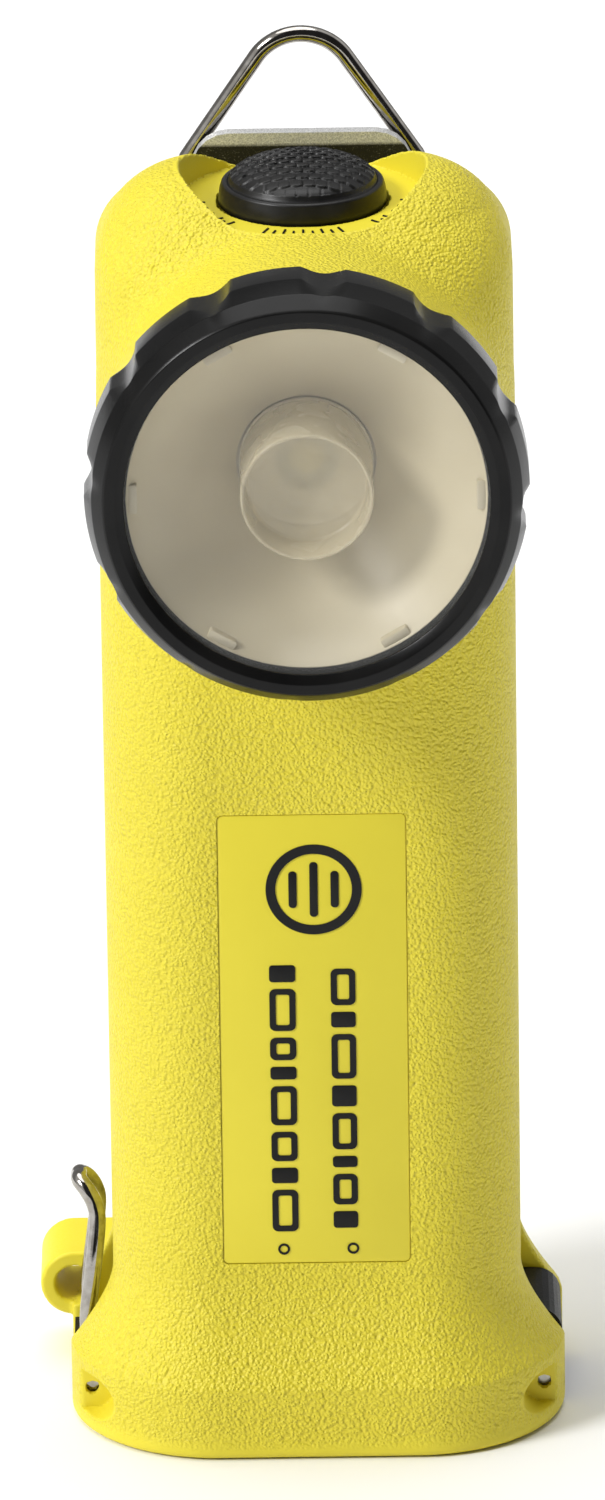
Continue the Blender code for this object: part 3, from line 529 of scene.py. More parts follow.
class Finish:
    """Principled material built from procedural nodes in object coordinates."""

    def __init__(self, name, **sockets):
        self.material = bpy.data.materials.new(name)
        self.material.use_nodes = True
        self.tree = self.material.node_tree
        self.shader = self.tree.nodes["Principled BSDF"]
        self.coordinates = self.tree.nodes.new("ShaderNodeTexCoord")
        for socket, value in sockets.items():
            self.shader.inputs[socket.replace("_", " ")].default_value = value

    def node(self, kind, inputs=None, **settings):
        """New node with its settings, and inputs that are values or other nodes' outputs."""
        made = self.tree.nodes.new(kind)
        for key, value in settings.items():
            setattr(made, key, value)
        for key, value in (inputs or {}).items():
            if isinstance(value, bpy.types.NodeSocket):
                self.tree.links.new(value, made.inputs[key])
            else:
                made.inputs[key].default_value = value
        return made

    def place(self, stretch=(1, 1, 1)):
        """Object coordinates, stretched."""
        mapping = self.node("ShaderNodeMapping", {"Vector": self.coordinates.outputs["Object"],
                                                  "Scale": stretch})
        return mapping.outputs["Vector"]

    def height(self):
        """Height along Z in object coordinates."""
        split = self.node("ShaderNodeSeparateXYZ", {"Vector": self.coordinates.outputs["Object"]})
        return split.outputs["Z"]

    def noise(self, per_mm, detail=2.0, stretch=(1, 1, 1)):
        inputs = {"Vector": self.place(stretch), "Scale": per_mm / MM, "Detail": detail}
        return self.node("ShaderNodeTexNoise", inputs).outputs["Fac"]

    def spread(self, value, low=0.0, high=1.0, from_low=0.3, from_high=0.7):
        """Value carried from one range to another, and held at its ends."""
        inputs = {"Value": value, "From Min": from_low, "From Max": from_high,
                  "To Min": low, "To Max": high}
        return self.node("ShaderNodeMapRange", inputs).outputs["Result"]

    def maths(self, operation, a, b=0.0, c=0.5):
        return self.node("ShaderNodeMath", {0: a, 1: b, 2: c}, operation=operation).outputs[0]

    def blend(self, factor, first, second):
        """Colour between two colours or colour outputs."""
        mix = self.node("ShaderNodeMix", {"Factor": factor}, data_type="RGBA")
        for key, value in (("A", first), ("B", second)):
            socket = [s for s in mix.inputs if s.name == key and s.type == "RGBA"][0]
            if isinstance(value, bpy.types.NodeSocket):
                self.tree.links.new(value, socket)
            else:
                socket.default_value = (*value, 1.0)
        return [s for s in mix.outputs if s.type == "RGBA"][0]

    def mottle(self, cloud, dark, light):
        """Colour that drifts between two close colours with a noise."""
        self.colour(self.blend(self.spread(cloud), dark, light))

    def colour(self, value):
        self.tree.links.new(value, self.shader.inputs["Base Color"])

    def roughness(self, value):
        self.tree.links.new(value, self.shader.inputs["Roughness"])

    def bump(self, height, depth_mm):
        inputs = {"Height": height, "Distance": depth_mm * MM, "Strength": 1.0}
        normal = self.node("ShaderNodeBump", inputs).outputs["Normal"]
        self.tree.links.new(normal, self.shader.inputs["Normal"])


def plain_finish(name, dark, light, rough, grain_per_mm, grain_mm, stretch=(1, 1, 1), **sockets):
    """Two close colours mottled together, uneven gloss and a fine moulded or worked grain."""
    finish = Finish(name, **sockets)
    finish.mottle(finish.noise(0.12, 3.0), dark, light)
    grain = finish.noise(grain_per_mm, 2.0, stretch)
    finish.roughness(finish.spread(grain, rough[0], rough[1]))
    finish.bump(grain, grain_mm)
    return finish.material


def yellow_finish():
    """Glass-filled nylon: leather pebbles with painted shade in the dips between them, where the
    mesh's grain value says so, else satin.
    """
    finish = Finish("yellow_nylon", Specular_IOR_Level=0.45)
    grain = finish.node("ShaderNodeAttribute", attribute_name="grain").outputs["Fac"]
    warp = finish.node("ShaderNodeTexNoise", {"Vector": finish.place(), "Scale": 0.9 / MM,
                                              "Detail": 2.0}).outputs["Color"]
    shifted = finish.node("ShaderNodeVectorMath", {0: warp, "Scale": 0.4 * MM},
                          operation="SCALE").outputs[0]
    warped = finish.node("ShaderNodeVectorMath", {0: finish.place(), 1: shifted},
                         operation="ADD").outputs[0]
    pebbles = finish.node("ShaderNodeTexVoronoi", {"Vector": warped, "Scale": 2.2 / MM,
                                                   "Smoothness": 0.6},
                          feature="SMOOTH_F1").outputs["Distance"]
    fine = finish.noise(3.2, 2.0)
    height = finish.maths("SUBTRACT", finish.maths("MULTIPLY", fine, 0.35), pebbles)
    height = finish.maths("MULTIPLY", height, grain)
    cloud = finish.noise(0.05, 3.0)
    base = finish.blend(finish.spread(cloud), (0.765, 0.655, 0.036), (0.79, 0.68, 0.040))
    # The dips between pebbles are painted darker: painted shade.
    hollow_shade = finish.maths("MULTIPLY", finish.spread(pebbles, 0.0, 0.35, 0.3, 0.9), grain)
    finish.colour(finish.blend(hollow_shade, base, (0.58, 0.46, 0.025)))
    finish.roughness(finish.spread(fine, 0.42, 0.56))
    finish.bump(height, 0.30)
    return finish.material


def rubber_finish():
    """Black rubber, softly shiny, with a fine skin."""
    finish = Finish("rubber", Specular_IOR_Level=0.35)
    cloud = finish.noise(0.3, 4.0)
    finish.mottle(cloud, (0.006, 0.006, 0.006), (0.012, 0.0115, 0.011))
    finish.roughness(finish.spread(cloud, 0.32, 0.42))
    finish.bump(finish.noise(9.0, 2.0), 0.006)
    return finish.material


def polished_finish():
    """Drawn stainless wire: bright, with faint rub marks."""
    finish = Finish("polished_steel", Metallic=1.0)
    rub = finish.noise(0.8, 5.0)
    finish.mottle(rub, (0.30, 0.28, 0.25), (0.46, 0.44, 0.41))
    finish.roughness(finish.spread(rub, 0.05, 0.14))
    finish.bump(finish.noise(2.5, 3.0), 0.004)
    return finish.material


def sparkle_finish():
    """Grainy black coat with a pale sparkle. Faces that don't look front or back are painted paler:
    thin coat on cut edges, and partly a painted highlight. Near the top it is painted bright grey:
    coat rubbed off, and partly a painted highlight standing in for a top face lit from above.
    """
    finish = Finish("black_steel", Metallic=0.35)
    wear_and_highlight_low, wear_and_highlight_full, wear_and_highlight_share = 169.8 * MM, 170.3 * MM, 0.9
    fleck = finish.noise(5.5, 1.0)
    speck = finish.spread(fleck, 0.0, 1.0, 0.62, 0.76)
    coat = finish.blend(speck, (0.010, 0.010, 0.010), (0.12, 0.12, 0.115))
    normal = finish.node("ShaderNodeNewGeometry").outputs["Normal"]
    facing = finish.node("ShaderNodeSeparateXYZ", {"Vector": normal}).outputs["Y"]
    # Paler on faces that don't look front or back: the thin coat of cut edges, and partly a painted
    # highlight where upward faces catch the light.
    edge = finish.spread(finish.maths("ABSOLUTE", facing), 1.0, 0.0, 0.35, 0.6)
    # Bright grey above the top line: coat rubbed off, and partly a painted highlight standing in
    # for a top face lit from above.
    wear_and_highlight = finish.spread(finish.height(), 0.0, wear_and_highlight_share, wear_and_highlight_low, wear_and_highlight_full)
    cut_edge_and_highlight = finish.blend(finish.spread(fleck), (0.20, 0.20, 0.195), (0.62, 0.62, 0.61))
    bare_and_highlight = finish.blend(finish.spread(fleck), (0.50, 0.50, 0.49), (0.92, 0.92, 0.91))
    finish.colour(finish.blend(wear_and_highlight, finish.blend(edge, coat, cut_edge_and_highlight), bare_and_highlight))
    finish.roughness(finish.spread(fleck, 0.52, 0.34))
    finish.bump(fleck, 0.05)
    return finish.material


def reflector_finish():
    """Satin cream moulding with a soft coat and a faint ripple."""
    finish = Finish("reflector_cream", Coat_Weight=0.35, Coat_Roughness=0.22,
                    Specular_IOR_Level=0.5)
    finish.mottle(finish.noise(0.08, 2.0), (0.54, 0.475, 0.325), (0.61, 0.545, 0.385))
    finish.roughness(finish.spread(finish.noise(4.0), 0.34, 0.44))
    finish.bump(finish.noise(1.2, 2.0), 0.01)
    return finish.material


def clear_finish(name, colour, alpha, rough):
    """Clear plastic drawn as a thin see-through coat, with faint flow marks."""
    finish = Finish(name, Alpha=alpha, Specular_IOR_Level=0.5)
    flow = finish.noise(0.2, 2.0)
    finish.mottle(flow, colour, tuple(min(1, c * 1.08) for c in colour))
    finish.roughness(finish.spread(flow, rough, rough * 1.6))
    finish.bump(flow, 0.0005)
    return finish.material


def cell_finish():
    """Battery sleeve: a broad dark band and a narrow pale one, no lettering."""
    finish = Finish("cell_can", Metallic=0.55)
    lowest, pitch, line_at, copper_from = 12 * MM, 44.8 * MM, 0.66, 0.68
    above = finish.maths("SUBTRACT", finish.height(), lowest)
    share = finish.maths("FRACT", finish.maths("DIVIDE", above, pitch))
    copper = finish.maths("GREATER_THAN", share, copper_from)
    base = finish.blend(copper, (0.012, 0.014, 0.020), (0.55, 0.30, 0.12))
    line = finish.maths("COMPARE", share, line_at, 0.008)
    finish.colour(finish.blend(line, base, (0.7, 0.7, 0.68)))
    finish.roughness(finish.spread(finish.noise(1.5), 0.24, 0.36))
    finish.bump(finish.noise(3.0), 0.006)
    return finish.material


def board_finish():
    """Solder mask with straight copper tracks showing through as slightly raised lines."""
    finish = Finish("circuit_board", Coat_Weight=0.3)
    tracks = finish.node("ShaderNodeTexBrick",
                         {"Vector": finish.place(), "Scale": 0.28 / MM, "Mortar Size": 0.05,
                          "Color1": (0, 0, 0, 1), "Color2": (0, 0, 0, 1),
                          "Mortar": (1, 1, 1, 1)}).outputs["Color"]
    finish.colour(finish.blend(tracks, (0.015, 0.11, 0.045), (0.035, 0.20, 0.08)))
    finish.roughness(finish.spread(finish.noise(3.0), 0.3, 0.45))
    finish.bump(tracks, 0.03)
    return finish.material


def make_finishes():
    """One material for each slot of the record."""
    black = ((0.005, 0.005, 0.005), (0.009, 0.0088, 0.0085))
    grey = ((0.42, 0.42, 0.41), (0.55, 0.55, 0.54))
    return {
        "yellow_nylon": yellow_finish(),
        "black_nylon": plain_finish("black_nylon", *black, (0.34, 0.48), 4.0, 0.012,
                                    Specular_IOR_Level=0.2),
        "bezel_black": plain_finish("bezel_black", *black, (0.20, 0.27), 5.0, 0.003,
                                    Specular_IOR_Level=0.16),
        "rubber": rubber_finish(),
        "seal_rubber": plain_finish("seal_rubber", (0.015, 0.015, 0.015), (0.03, 0.03, 0.03),
                                    (0.5, 0.65), 3.0, 0.01),
        "polished_steel": polished_finish(),
        "plain_steel": plain_finish("plain_steel", *grey, (0.22, 0.4), 3.0, 0.01, (1, 1, 0.1),
                                    Metallic=1.0),
        "black_steel": sparkle_finish(),
        "aluminium": plain_finish("aluminium", (0.55, 0.55, 0.57), (0.68, 0.68, 0.7), (0.28, 0.42),
                                  4.0, 0.008, (0.15, 1, 0.15), Metallic=1.0),
        "brass": plain_finish("brass", (0.62, 0.42, 0.15), (0.78, 0.58, 0.25), (0.25, 0.4), 3.0,
                              0.008, Metallic=1.0),
        "reflector_cream": reflector_finish(),
        "clear_lens": clear_finish("clear_lens", (0.90, 0.90, 0.86), 0.05, 0.03),
        "light_pipe": clear_finish("light_pipe", (0.74, 0.66, 0.46), 0.42, 0.2),
        "circuit_board": board_finish(),
        "emitter": plain_finish("emitter", (0.75, 0.62, 0.15), (0.9, 0.8, 0.3), (0.35, 0.5), 5.0,
                                0.005),
        "cell_can": cell_finish(),
        "red_sleeve": plain_finish("red_sleeve", (0.35, 0.02, 0.02), (0.5, 0.04, 0.03),
                                   (0.4, 0.55), 2.0, 0.01),
        "black_sleeve": plain_finish("black_sleeve", *black, (0.4, 0.55), 2.0, 0.01),
    }


# ---- pieces of the body

def make_housing(finishes):
    """The moulding: meshed from its field, thinned, settled again and given true normals."""
    step = 0.45
    most_triangles = 180000
    low = np.array([-40.3, -46.3, -1.3])
    high = np.array([35.6, 28.6, 177.0])
    places, faces = surface_net(field_grid(housing_field, low, high, step), low, step)
    places = settle(housing_field, places, rounds=2, longest=step)
    obj = link_mesh("housing_shell", places, faces)
    thin = obj.modifiers.new("thin", "DECIMATE")
    thin.ratio = min(1, most_triangles / (2 * len(faces)))
    bake_modifiers(obj)
    places = settle(housing_field, vertex_places(obj.data), rounds=2, longest=0.1)
    obj.data.vertices.foreach_set("co", (places * MM).astype(np.float32).ravel())
    seat_panel(obj)
    shade_from_field(obj)
    finish_piece(obj, "housing", "yellow_nylon", finishes, "main_housing")


def seat_panel(obj):
    """Cut the shallow seat of the label panel into the front."""
    gap, depth, past, corner = 0.12, 0.45, 3.0, 0.8
    outline = rounded_box((PANEL_LEFT - gap, PANEL_LOW - gap),
                          (PANEL_RIGHT + gap, PANEL_HIGH + gap), corner)
    tool = extruded("panel_seat", outline, "XZ", -COLUMN[1] - past, -COLUMN[1] + depth, bevel=0)
    step = obj.modifiers.new("seat", "BOOLEAN")
    step.operation = "DIFFERENCE"
    step.solver = "MANIFOLD"
    step.object = tool
    bake_modifiers(obj)
    bpy.data.objects.remove(tool)


def shade_from_field(obj):
    """Normals from the field where a face follows it, and the grain value of each vertex."""
    reach, least_agreement, nearest = 0.05, 0.75, 0.06
    mesh = obj.data
    mesh.shade_smooth()
    places = vertex_places(mesh)
    value, gradient = slope(housing_field, places, reach)
    gradient /= np.maximum(np.linalg.norm(gradient, axis=1, keepdims=True), 1e-6)
    flat = np.empty(len(mesh.polygons) * 3, np.float32)
    mesh.polygons.foreach_get("normal", flat)
    face_normals = flat.reshape(-1, 3)
    corner_vert = np.empty(len(mesh.loops), np.int32)
    mesh.loops.foreach_get("vertex_index", corner_vert)
    totals = np.empty(len(mesh.polygons), np.int32)
    mesh.polygons.foreach_get("loop_total", totals)
    corner_face = np.repeat(np.arange(len(totals)), totals)
    wanted = gradient[corner_vert]
    flat_normal = face_normals[corner_face]
    agrees = (wanted * flat_normal).sum(1) > least_agreement
    on_field = np.abs(value[corner_vert]) < nearest
    chosen = np.where((agrees & on_field)[:, None], wanted, flat_normal)
    mesh.normals_split_custom_set(chosen.tolist())

    full_within, fade, rim_width, rim_drop, plain_foot, foot_fade = 0.04, 0.15, 0.5, 2.6, 1.2, 1.5
    depth = sampled(outer_skin, places)
    grain = np.clip(1 - (np.abs(depth) - full_within) / fade, 0, 1)
    around = np.hypot(places[:, 0], places[:, 1])
    at_rim = (np.abs(around - RECESS_RADIUS) < rim_width) & (places[:, 2] > RECESS_FLOOR - rim_drop)
    grain[at_rim] = 0
    grain *= np.clip((places[:, 2] - plain_foot) / foot_fade, 0, 1)
    attribute = mesh.attributes.new("grain", "FLOAT", "POINT")
    attribute.data.foreach_set("value", grain.astype(np.float32))


def make_panel(finishes):
    """Smooth label panel in its seat, with plain raised black marks in place of lettering."""
    outline = rounded_box((PANEL_LEFT, PANEL_LOW), (PANEL_RIGHT, PANEL_HIGH), 0.7)
    panel = extruded("label_panel", outline, "XZ", PANEL_FACE, PANEL_BACK, bevel=0.06)
    finish_piece(panel, "housing", "yellow_nylon", finishes)

    face, high, edge = PANEL_FACE + 0.02, PANEL_FACE - 0.12, 0.03
    emblem, emblem_radii, bar_half = (0.2, 80.4), (6.4, 5.1), 0.55
    outer, inner = [arc(emblem, radius, 0, 354, 59) for radius in emblem_radii]
    marks = [flat_ring("mark_ring", outer, inner, high, face)]
    for x, half_height in ((-2.6, 2.6), (0.2, 3.9), (3.0, 2.6)):
        bar = rounded_box((x - bar_half, emblem[1] - half_height),
                          (x + bar_half, emblem[1] + half_height), 0.5)
        marks.append(extruded("mark_bar", bar, "XZ", high, face, bevel=edge))

    longest_stroke, box_end, box_side, spacing = 3.0, 0.8, 0.85, 1.0
    for left, right, top, lengths in ((2.3, 5.6, 69.0, (5.2, 2.2, 6.4, 3.0, 5.2, 1.6, 4.4, 2.4)),
                                      (-5.9, -2.4, 69.6, (2.4, 6.0, 3.2, 1.8, 5.6, 4.2, 2.2, 6.0))):
        for length in lengths:
            low = top - length
            if length > longest_stroke:
                outer = rounded_box((left, low), (right, top), 0.8)
                inner = rounded_box((left + box_side, low + box_end),
                                    (right - box_side, top - box_end), 0.3)
                marks.append(flat_ring("mark_box", outer, inner, high, face))
            else:
                stroke = rounded_box((left, low), (right, top), 0.45)
                marks.append(extruded("mark_stroke", stroke, "XZ", high, face, bevel=edge))
            top -= length + spacing

    for centre in ((4.9, 28.6), (-4.4, 28.6)):
        outer, inner = [arc(centre, radius, 0, 345, 23) for radius in (0.8, 0.5)]
        marks.append(flat_ring("mark_dot", outer, inner, high, face))
    finish_piece(merged("label_marks", marks), "housing", "black_nylon", finishes)


def flat_ring(name, outer, inner, front, back):
    """Closed flat band between two outlines in the XZ plane with the same number of points."""
    if len(outer) != len(inner):
        raise ValueError("outlines differ: " + name)
    loops = [(outer, front), (outer, back), (inner, back), (inner, front)]
    verts = [(x, y, z) for outline, y in loops for x, z in outline]
    count = len(outer)
    faces = []
    for k in range(4):
        m = (k + 1) % 4
        for i in range(count):
            j = (i + 1) % count
            faces.append((k * count + i, k * count + j, m * count + j, m * count + i))
    obj = link_mesh(name, verts, faces)
    with editing(obj.data) as bm:
        bmesh.ops.recalc_face_normals(bm, faces=bm.faces)
    smooth(obj)
    return obj


def make_ticks(finishes):
    """Plain ticks moulded round the switch recess, in place of a legend."""
    pitch_deg, long_from, short_from, outer, half = 5.2, 12.9, 13.5, 15.0, 0.15
    low, high = RECESS_FLOOR - 0.05, RECESS_FLOOR + 0.16
    ticks = []
    for centre_deg in (-155, -90, -25):
        for step in range(-4, 5):
            angle = math.radians(centre_deg + pitch_deg * step)
            inner = long_from if step % 2 == 0 else short_from
            across = Vector((-math.sin(angle), math.cos(angle))) * half
            along = Vector((math.cos(angle), math.sin(angle)))
            corners = [along * inner - across, along * outer - across,
                       along * outer + across, along * inner + across]
            ticks.append(extruded("tick", [(c.x, c.y) for c in corners], "XY", low, high,
                                  bevel=0.05, segments=1))
    finish_piece(merged("recess_ticks", ticks), "housing", "black_nylon", finishes)


# ---- head

def scalloped(radius, height, angle):
    """Outer points of the bezel pulled in where a finger scallop crosses them."""
    pitch_deg, first_deg, scallop, depth, inner_points, soft = 30.0, 25.0, 4.5, 1.1, 25.5, 0.07
    if radius < inner_points:
        return radius, height
    turn = (math.degrees(angle) - first_deg + pitch_deg / 2) % pitch_deg - pitch_deg / 2
    reach = BEZEL_RADIUS + scallop - depth
    across = reach * math.sin(math.radians(turn))
    if abs(across) >= scallop:
        return radius, height
    limit = reach * math.cos(math.radians(turn)) - math.sqrt(scallop ** 2 - across ** 2)
    excess = radius - limit
    if excess < -2 * soft:
        return radius, height
    eased = 0.5 * (excess + math.sqrt(excess ** 2 + soft ** 2))
    return radius - eased, height


def make_bezel(finishes):
    """Head ring with twelve finger scallops and a bevelled front."""
    outline = [(25.4, BEZEL_BACK), (28.4, BEZEL_BACK), (BEZEL_RADIUS, BEZEL_BACK + 0.6),
               (BEZEL_RADIUS, 43.4), (28.0, 46.7), (26.6, 48.7), (26.3, BEZEL_FRONT),
               (25.0, BEZEL_FRONT),
               (WINDOW_RADIUS + 0.3, 48.3), (WINDOW_RADIUS + 0.3, 47.9), (25.4, 47.9)]
    steps = 432
    obj = turned("head_bezel", outline, HEAD_CENTRE, HEAD_AXIS, steps, scalloped, corner=0.12,
                 sharp_deg=40)
    finish_piece(obj, "head_ring", "bezel_black", finishes, "bezel")


def make_optics(finishes):
    """Window, reflector bowl with its rim tabs, and the clear light pipe."""
    glass = [(0, 46.6), (25.0, 46.6), (25.0, 47.6), (0, 47.6)]
    window = turned("window_glass", glass, HEAD_CENTRE, HEAD_AXIS, 128, corner=0.2)
    finish_piece(window, "lens_carrier", "clear_lens", finishes, "lens")

    throat, mouth, floor, rim, wall, curve = 9.2, 23.4, 32.2, 46.4, 1.2, 0.2
    face = []
    for i in range(25):
        t = i / 24
        rise = (1 - curve) * t + curve * t * t
        face.append((throat + (mouth - throat) * t, floor + (rim - floor) * rise))
    back = [(23.5, rim), (23.5, 45.3), (24.9, 45.3), (24.9, 44.9), (22.2, 44.9), (22.2, 44.0)]
    back += [(radius, height - 1.3 * wall) for radius, height in face[19:0:-3]]
    back += [(9.8, floor - wall), (4.2, floor - wall), (4.2, floor), (8.85, floor),
             (8.85, floor - 0.7), (9.12, floor - 0.7), (9.12, floor)]
    parts = [turned("reflector_bowl", face + back, HEAD_CENTRE, HEAD_AXIS, 144, sharp_deg=30)]
    to_head = Matrix.Translation((0, 0, HEAD_Z * MM)) @ Matrix.Rotation(math.pi / 2, 4, "X")
    for number in range(6):
        tab = extruded("rim_tab", rounded_box((22.0, -2.0), (23.3, 2.0), 0.3), "XY", 44.2, 46.2)
        tab.data.transform(to_head @ Matrix.Rotation(math.tau * number / 6, 4, "Z"))
        parts.append(tab)
    bowl = merged("reflector_bowl", parts)
    finish_piece(bowl, "housing", "reflector_cream", finishes, "reflector")

    pipe = [(0, 34.7), (3.0, 32.5), (8.5, 32.5), (8.7, 32.7), (8.7, 46.1), (8.5, 46.3),
            (8.2, 46.2), (7.9, 41.2), (7.6, 40.9), (0, 40.4)]
    clear = turned("light_pipe_rod", pipe, HEAD_CENTRE, HEAD_AXIS, 96, corner=0.15)
    finish_piece(clear, "housing", "light_pipe", finishes, "light_pipe")


# ---- switch

def scale_height(x, y):
    """Overlapping scales: each rises towards the front and steps down to the next row."""
    pitch, width, overlap, side_cut, lip_share = 1.6, 1.65, 1.12, 0.16, 0.08
    best = 0.0
    row = math.floor(-y / pitch)
    for index in (row - 1, row):
        shift = 0.5 * (index % 2)
        u = (x / width + shift) % 1.0 - 0.5
        edge = side_cut * (2 * abs(u)) ** 2.4
        v = (-y / pitch - index) / (overlap - edge)
        if 0 <= v <= 1:
            side = max(0.0, 1 - (2 * abs(u)) ** 10)
            lip = min(1.0, (1 - v) / lip_share)
            best = max(best, SCALE_DEPTH * (0.25 + 0.75 * v) * (0.3 + 0.7 * side) * lip)
    return best


def make_button(finishes):
    """Rubber button: tapered skirt, shoulder, groove and a dome covered in small scales."""
    skirt_low, skirt_top, crown = 169.5, 172.2, 175.8
    dome_radius, dome_edge, plain_rim, fade_width = 9.7, 172.8, 0.15, 0.12
    rise = crown - dome_edge
    rings = 110
    outline = [(0.0, 172.9), (6.0, 172.7), (9.3, 171.0), (BUTTON_RADIUS - 1.4, skirt_low)]
    outline += [(BUTTON_RADIUS - 0.15, skirt_low), (BUTTON_RADIUS, skirt_low + 0.15)]
    outline += [(11.12, 170.6), (10.98, 171.6)]
    outline += arc((10.3, skirt_top - 0.1), 0.5, 0, 90, 6)
    outline += [(10.05, skirt_top + 0.42), (9.95, skirt_top + 0.28), (9.82, skirt_top + 0.45)]
    for i in range(rings, -1, -1):
        radius = dome_radius * i / rings
        outline.append((radius, dome_edge + rise * math.sqrt(1 - (radius / dome_radius) ** 2)))

    def scaled(radius, height, angle):
        if height < dome_edge - 0.05 or radius > dome_radius - plain_rim:
            return radius, height
        fade = min(1.0, (dome_radius - plain_rim - radius) / fade_width)
        lift = scale_height(radius * math.cos(angle), radius * math.sin(angle))
        return radius, height + fade * (lift - SCALE_DEPTH)

    steps = 360
    obj = turned("rubber_button", outline, (0, 0, 0), (0, 0, 1), steps, scaled, sharp_deg=60)
    finish_piece(obj, "button", "rubber", finishes, "switch_button")


def make_switch_spring(finishes):
    """Return spring under the button, as one fixed coil at rest."""
    seat, gap, length, coil_radius, wire, turns, travel = 165.0, 0.3, 6.2, 4.8, 0.35, 4, 1.5
    low = seat + gap + wire
    steps = 24 * turns
    path = []
    for i in range(steps + 1):
        angle = math.tau * turns * i / steps
        path.append((coil_radius * math.cos(angle), coil_radius * math.sin(angle),
                     low + length * i / steps))
    obj = swept("return_spring", path, wire, sides=12)
    finish_piece(obj, "housing", "plain_steel", finishes, "switch_spring")
    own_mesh(obj)


# ---- wires and fittings

def make_ring(finishes):
    """Carrying ring: a round-topped triangle of bright wire through the plate's ears."""
    lean, ring_y, foot_z, foot_x, crown_z, corner = 34.0, 27.2, 164.5, 17.0, 184.0, 1.6
    tip_z = foot_z + foot_x / math.tan(math.radians(lean))
    crown = (tip_z - crown_z) / (1 / math.sin(math.radians(lean)) - 1)
    offset = corner / math.tan(math.radians(90 - lean) / 2)
    path = arc((0, crown_z - crown), crown, lean, 180 - lean, 40)
    path += arc((-foot_x + offset, foot_z + corner), corner, 180 - lean, 270, 14)
    path += arc((foot_x - offset, foot_z + corner), corner, -90, lean, 14)
    path = [(x, ring_y, z) for x, z in path]
    obj = swept("ring_wire", path, WIRE_RADIUS, sides=24, closed=True)
    finish_piece(obj, "carrying_ring", "polished_steel", finishes, "d_ring")


def smooth_path(points, per_span):
    """Catmull-Rom curve through the points."""
    line = [Vector(p) for p in points]
    padded = [2 * line[0] - line[1]] + line + [2 * line[-1] - line[-2]]
    path = []
    for a, b, c, d in zip(padded, padded[1:], padded[2:], padded[3:]):
        for k in range(per_span):
            t = k / per_span
            path.append(0.5 * ((2 * b) + (c - a) * t + (2 * a - 5 * b + 4 * c - d) * t * t
                               + (3 * b - a - 3 * c + d) * t ** 3))
    path.append(line[-1])
    return path


def make_bail(finishes):
    """Wire bail at the left: two pivot ends, two legs and the bent tip between them."""
    foot_x, foot_z, leg_y, tip_y, end_y, bend = -30.6, 5.4, 6.0, 1.4, 12.8, 1.2
    leg = [(-31.2, leg_y, 12.1), (-30.3, 5.0, 19.6), (-29.7, 3.8, 25.2), (-30.0, 3.2, 27.6),
           (-31.0, 2.6, 29.5)]
    half = [(foot_x, end_y, foot_z), (foot_x, leg_y + bend + 0.6, foot_z),
            (foot_x, leg_y + bend - 0.3, foot_z + 0.05), (foot_x - 0.1, leg_y + 0.2, foot_z + 0.8)]
    half += leg + [(-32.0, tip_y, 30.5)]
    mirrored = [(x, -y, z) for x, y, z in half]
    points = mirrored + [(-32.1, 0, 30.6)] + half[::-1]
    obj = swept("bail_wire", smooth_path(points, 6), WIRE_RADIUS)
    finish_piece(obj, "bail", "polished_steel", finishes, "wire_bail")


def dress_cad_nodes(finishes):
    """Material for each CAD node still showing, and soft edges on the machined ones."""
    slots = {
        "black_nylon": ("hinge_block", "switch_guide", "switch_body", "battery_carrier",
                        "battery_door"),
        "seal_rubber": ("head_seal", "lens_gasket", "door_gasket"),
        "plain_steel": ("hinge_pin", "switch_plunger", "clip_pin", "clip_spring",
                        "clip_screw_1", "clip_screw_2", "clip_screw_3", "clip_screw_4",
                        "contact_screw_1", "contact_screw_2", "contact_spring_1",
                        "contact_spring_2"),
        "black_steel": ("clip_plate", "belt_clip", "driver_coil"),
        "aluminium": ("heat_sink",),
        "brass": ("sink_ring", "door_contact", "bay_contact_1", "bay_contact_2"),
        "circuit_board": ("led_board", "driver_board", "bay_insulator"),
        "emitter": ("led_emitter",),
        "cell_can": ("cell_1", "cell_2", "cell_3", "cell_4"),
        "red_sleeve": ("lead_positive",),
        "black_sleeve": ("lead_negative",),
    }
    eased = {"hinge_block": 0.4, "battery_carrier": 0.3, "battery_door": 0.25, "clip_plate": 0.25,
             "belt_clip": 0.25, "door_contact": 0.1, "switch_body": 0.2, "heat_sink": 0.15}
    for slot, names in slots.items():
        for name in names:
            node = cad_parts[name]
            node.data.materials.clear()
            node.data.materials.append(finishes[slot])
    for name, width in eased.items():
        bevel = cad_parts[name].modifiers.new("soft_edges", "BEVEL")
        bevel.width = width * MM
        bevel.segments = 2
        bevel.limit_method = "ANGLE"
        bevel.angle_limit = math.radians(50)
        bevel.use_clamp_overlap = True


# ---- studio

def make_floor():
    """Plain pale floor, larger than the camera sees and just under the torch."""
    half, drop = 6.0, 0.0002
    mesh = bpy.data.meshes.new("floor")
    mesh.from_pydata([(-half, -half, 0), (half, -half, 0), (half, half, 0), (-half, half, 0)], [],
                     [(0, 1, 2, 3)])
    floor = add_object("floor", mesh)
    floor.location = (0, 0, -drop)
    finish = Finish("floor_paper", Specular_IOR_Level=0.1, Roughness=0.9)
    finish.colour(finish.blend(finish.noise(0.01, 2.0), (0.93, 0.93, 0.93), (0.95, 0.95, 0.95)))
    mesh.materials.append(finish.material)


def soft_light(name, direction, strength, spread_deg):
    """Distant soft light that comes from a direction."""
    light = bpy.data.lights.new(name, "SUN")
    light.energy = strength
    light.angle = math.radians(spread_deg)
    obj = add_object(name, light)
    obj.location = direction
    obj.rotation_euler = (-Vector(direction)).to_track_quat("-Z", "Y").to_euler()


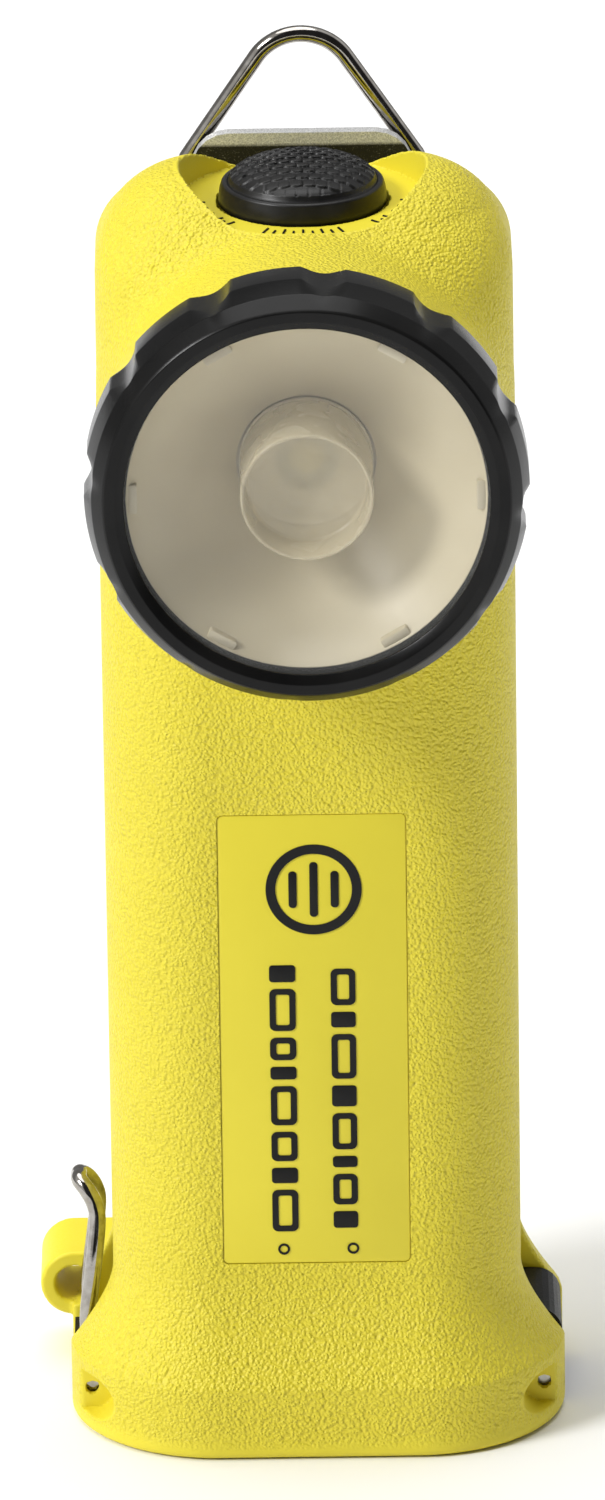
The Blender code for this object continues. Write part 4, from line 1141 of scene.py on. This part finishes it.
def make_studio():
    """Soft key light from the upper left, soft top light, and a dark flag at the front right."""
    soft_light("key", (-1.0, -0.60, 0.85), 2.3, 18)
    soft_light("top", (-0.10, 0.1, 1.0), 1.5, 50)
    bpy.context.scene.view_settings.view_transform = "Standard"
    flag = Vector((0.35, -0.85, 0.38))
    world = bpy.data.worlds.new("studio")
    world.use_nodes = True
    tree = world.node_tree
    background = tree.nodes["Background"]
    coordinates = tree.nodes.new("ShaderNodeTexCoord")
    towards = tree.nodes.new("ShaderNodeVectorMath")
    towards.operation = "DOT_PRODUCT"
    towards.inputs[1].default_value = flag.normalized() / 2
    shift = tree.nodes.new("ShaderNodeMath")
    shift.inputs[1].default_value = 0.5
    ramp = tree.nodes.new("ShaderNodeValToRGB")
    tree.links.new(coordinates.outputs["Generated"], towards.inputs[0])
    tree.links.new(towards.outputs["Value"], shift.inputs[0])
    tree.links.new(shift.outputs["Value"], ramp.inputs["Fac"])
    tree.links.new(ramp.outputs["Color"], background.inputs["Color"])
    stops = ((0.0, 0.28), (0.35, 0.28), (0.50, 0.75), (0.70, 0.75), (0.80, 0.03), (1.0, 0.03))
    for position, _ in stops[1:-1]:
        ramp.color_ramp.elements.new(position)
    for element, (_, level) in zip(ramp.color_ramp.elements, stops):
        element.color = (level, level, level, 1)
    bpy.context.scene.world = world


def make_camera():
    """Long lens from above the front, pitched down, with a slight roll."""
    pitch, roll = 0.362876, -0.0136854
    place = Vector((-1.018, -1738.56, 752.04)) * MM
    level = Vector((1, 0, 0))
    upright = Vector((0, math.sin(pitch), math.cos(pitch)))
    ahead = Vector((0, math.cos(pitch), -math.sin(pitch)))
    right = math.cos(roll) * level + math.sin(roll) * upright
    up = math.cos(roll) * upright - math.sin(roll) * level
    data = bpy.data.cameras.new("camera")
    data.sensor_width = 36.0
    data.sensor_fit = "AUTO"
    data.lens = 332.69
    data.clip_end = 20.0
    camera = add_object("camera", data)
    axes = Matrix((right, up, -ahead)).transposed().to_4x4()
    camera.matrix_world = Matrix.Translation(place) @ axes
    bpy.context.scene.camera = camera


def main():
    finishes = make_finishes()
    make_housing(finishes)
    make_panel(finishes)
    make_ticks(finishes)
    make_bezel(finishes)
    make_optics(finishes)
    make_button(finishes)
    make_switch_spring(finishes)
    make_ring(finishes)
    make_bail(finishes)
    dress_cad_nodes(finishes)
    make_floor()
    make_studio()
    make_camera()


main()
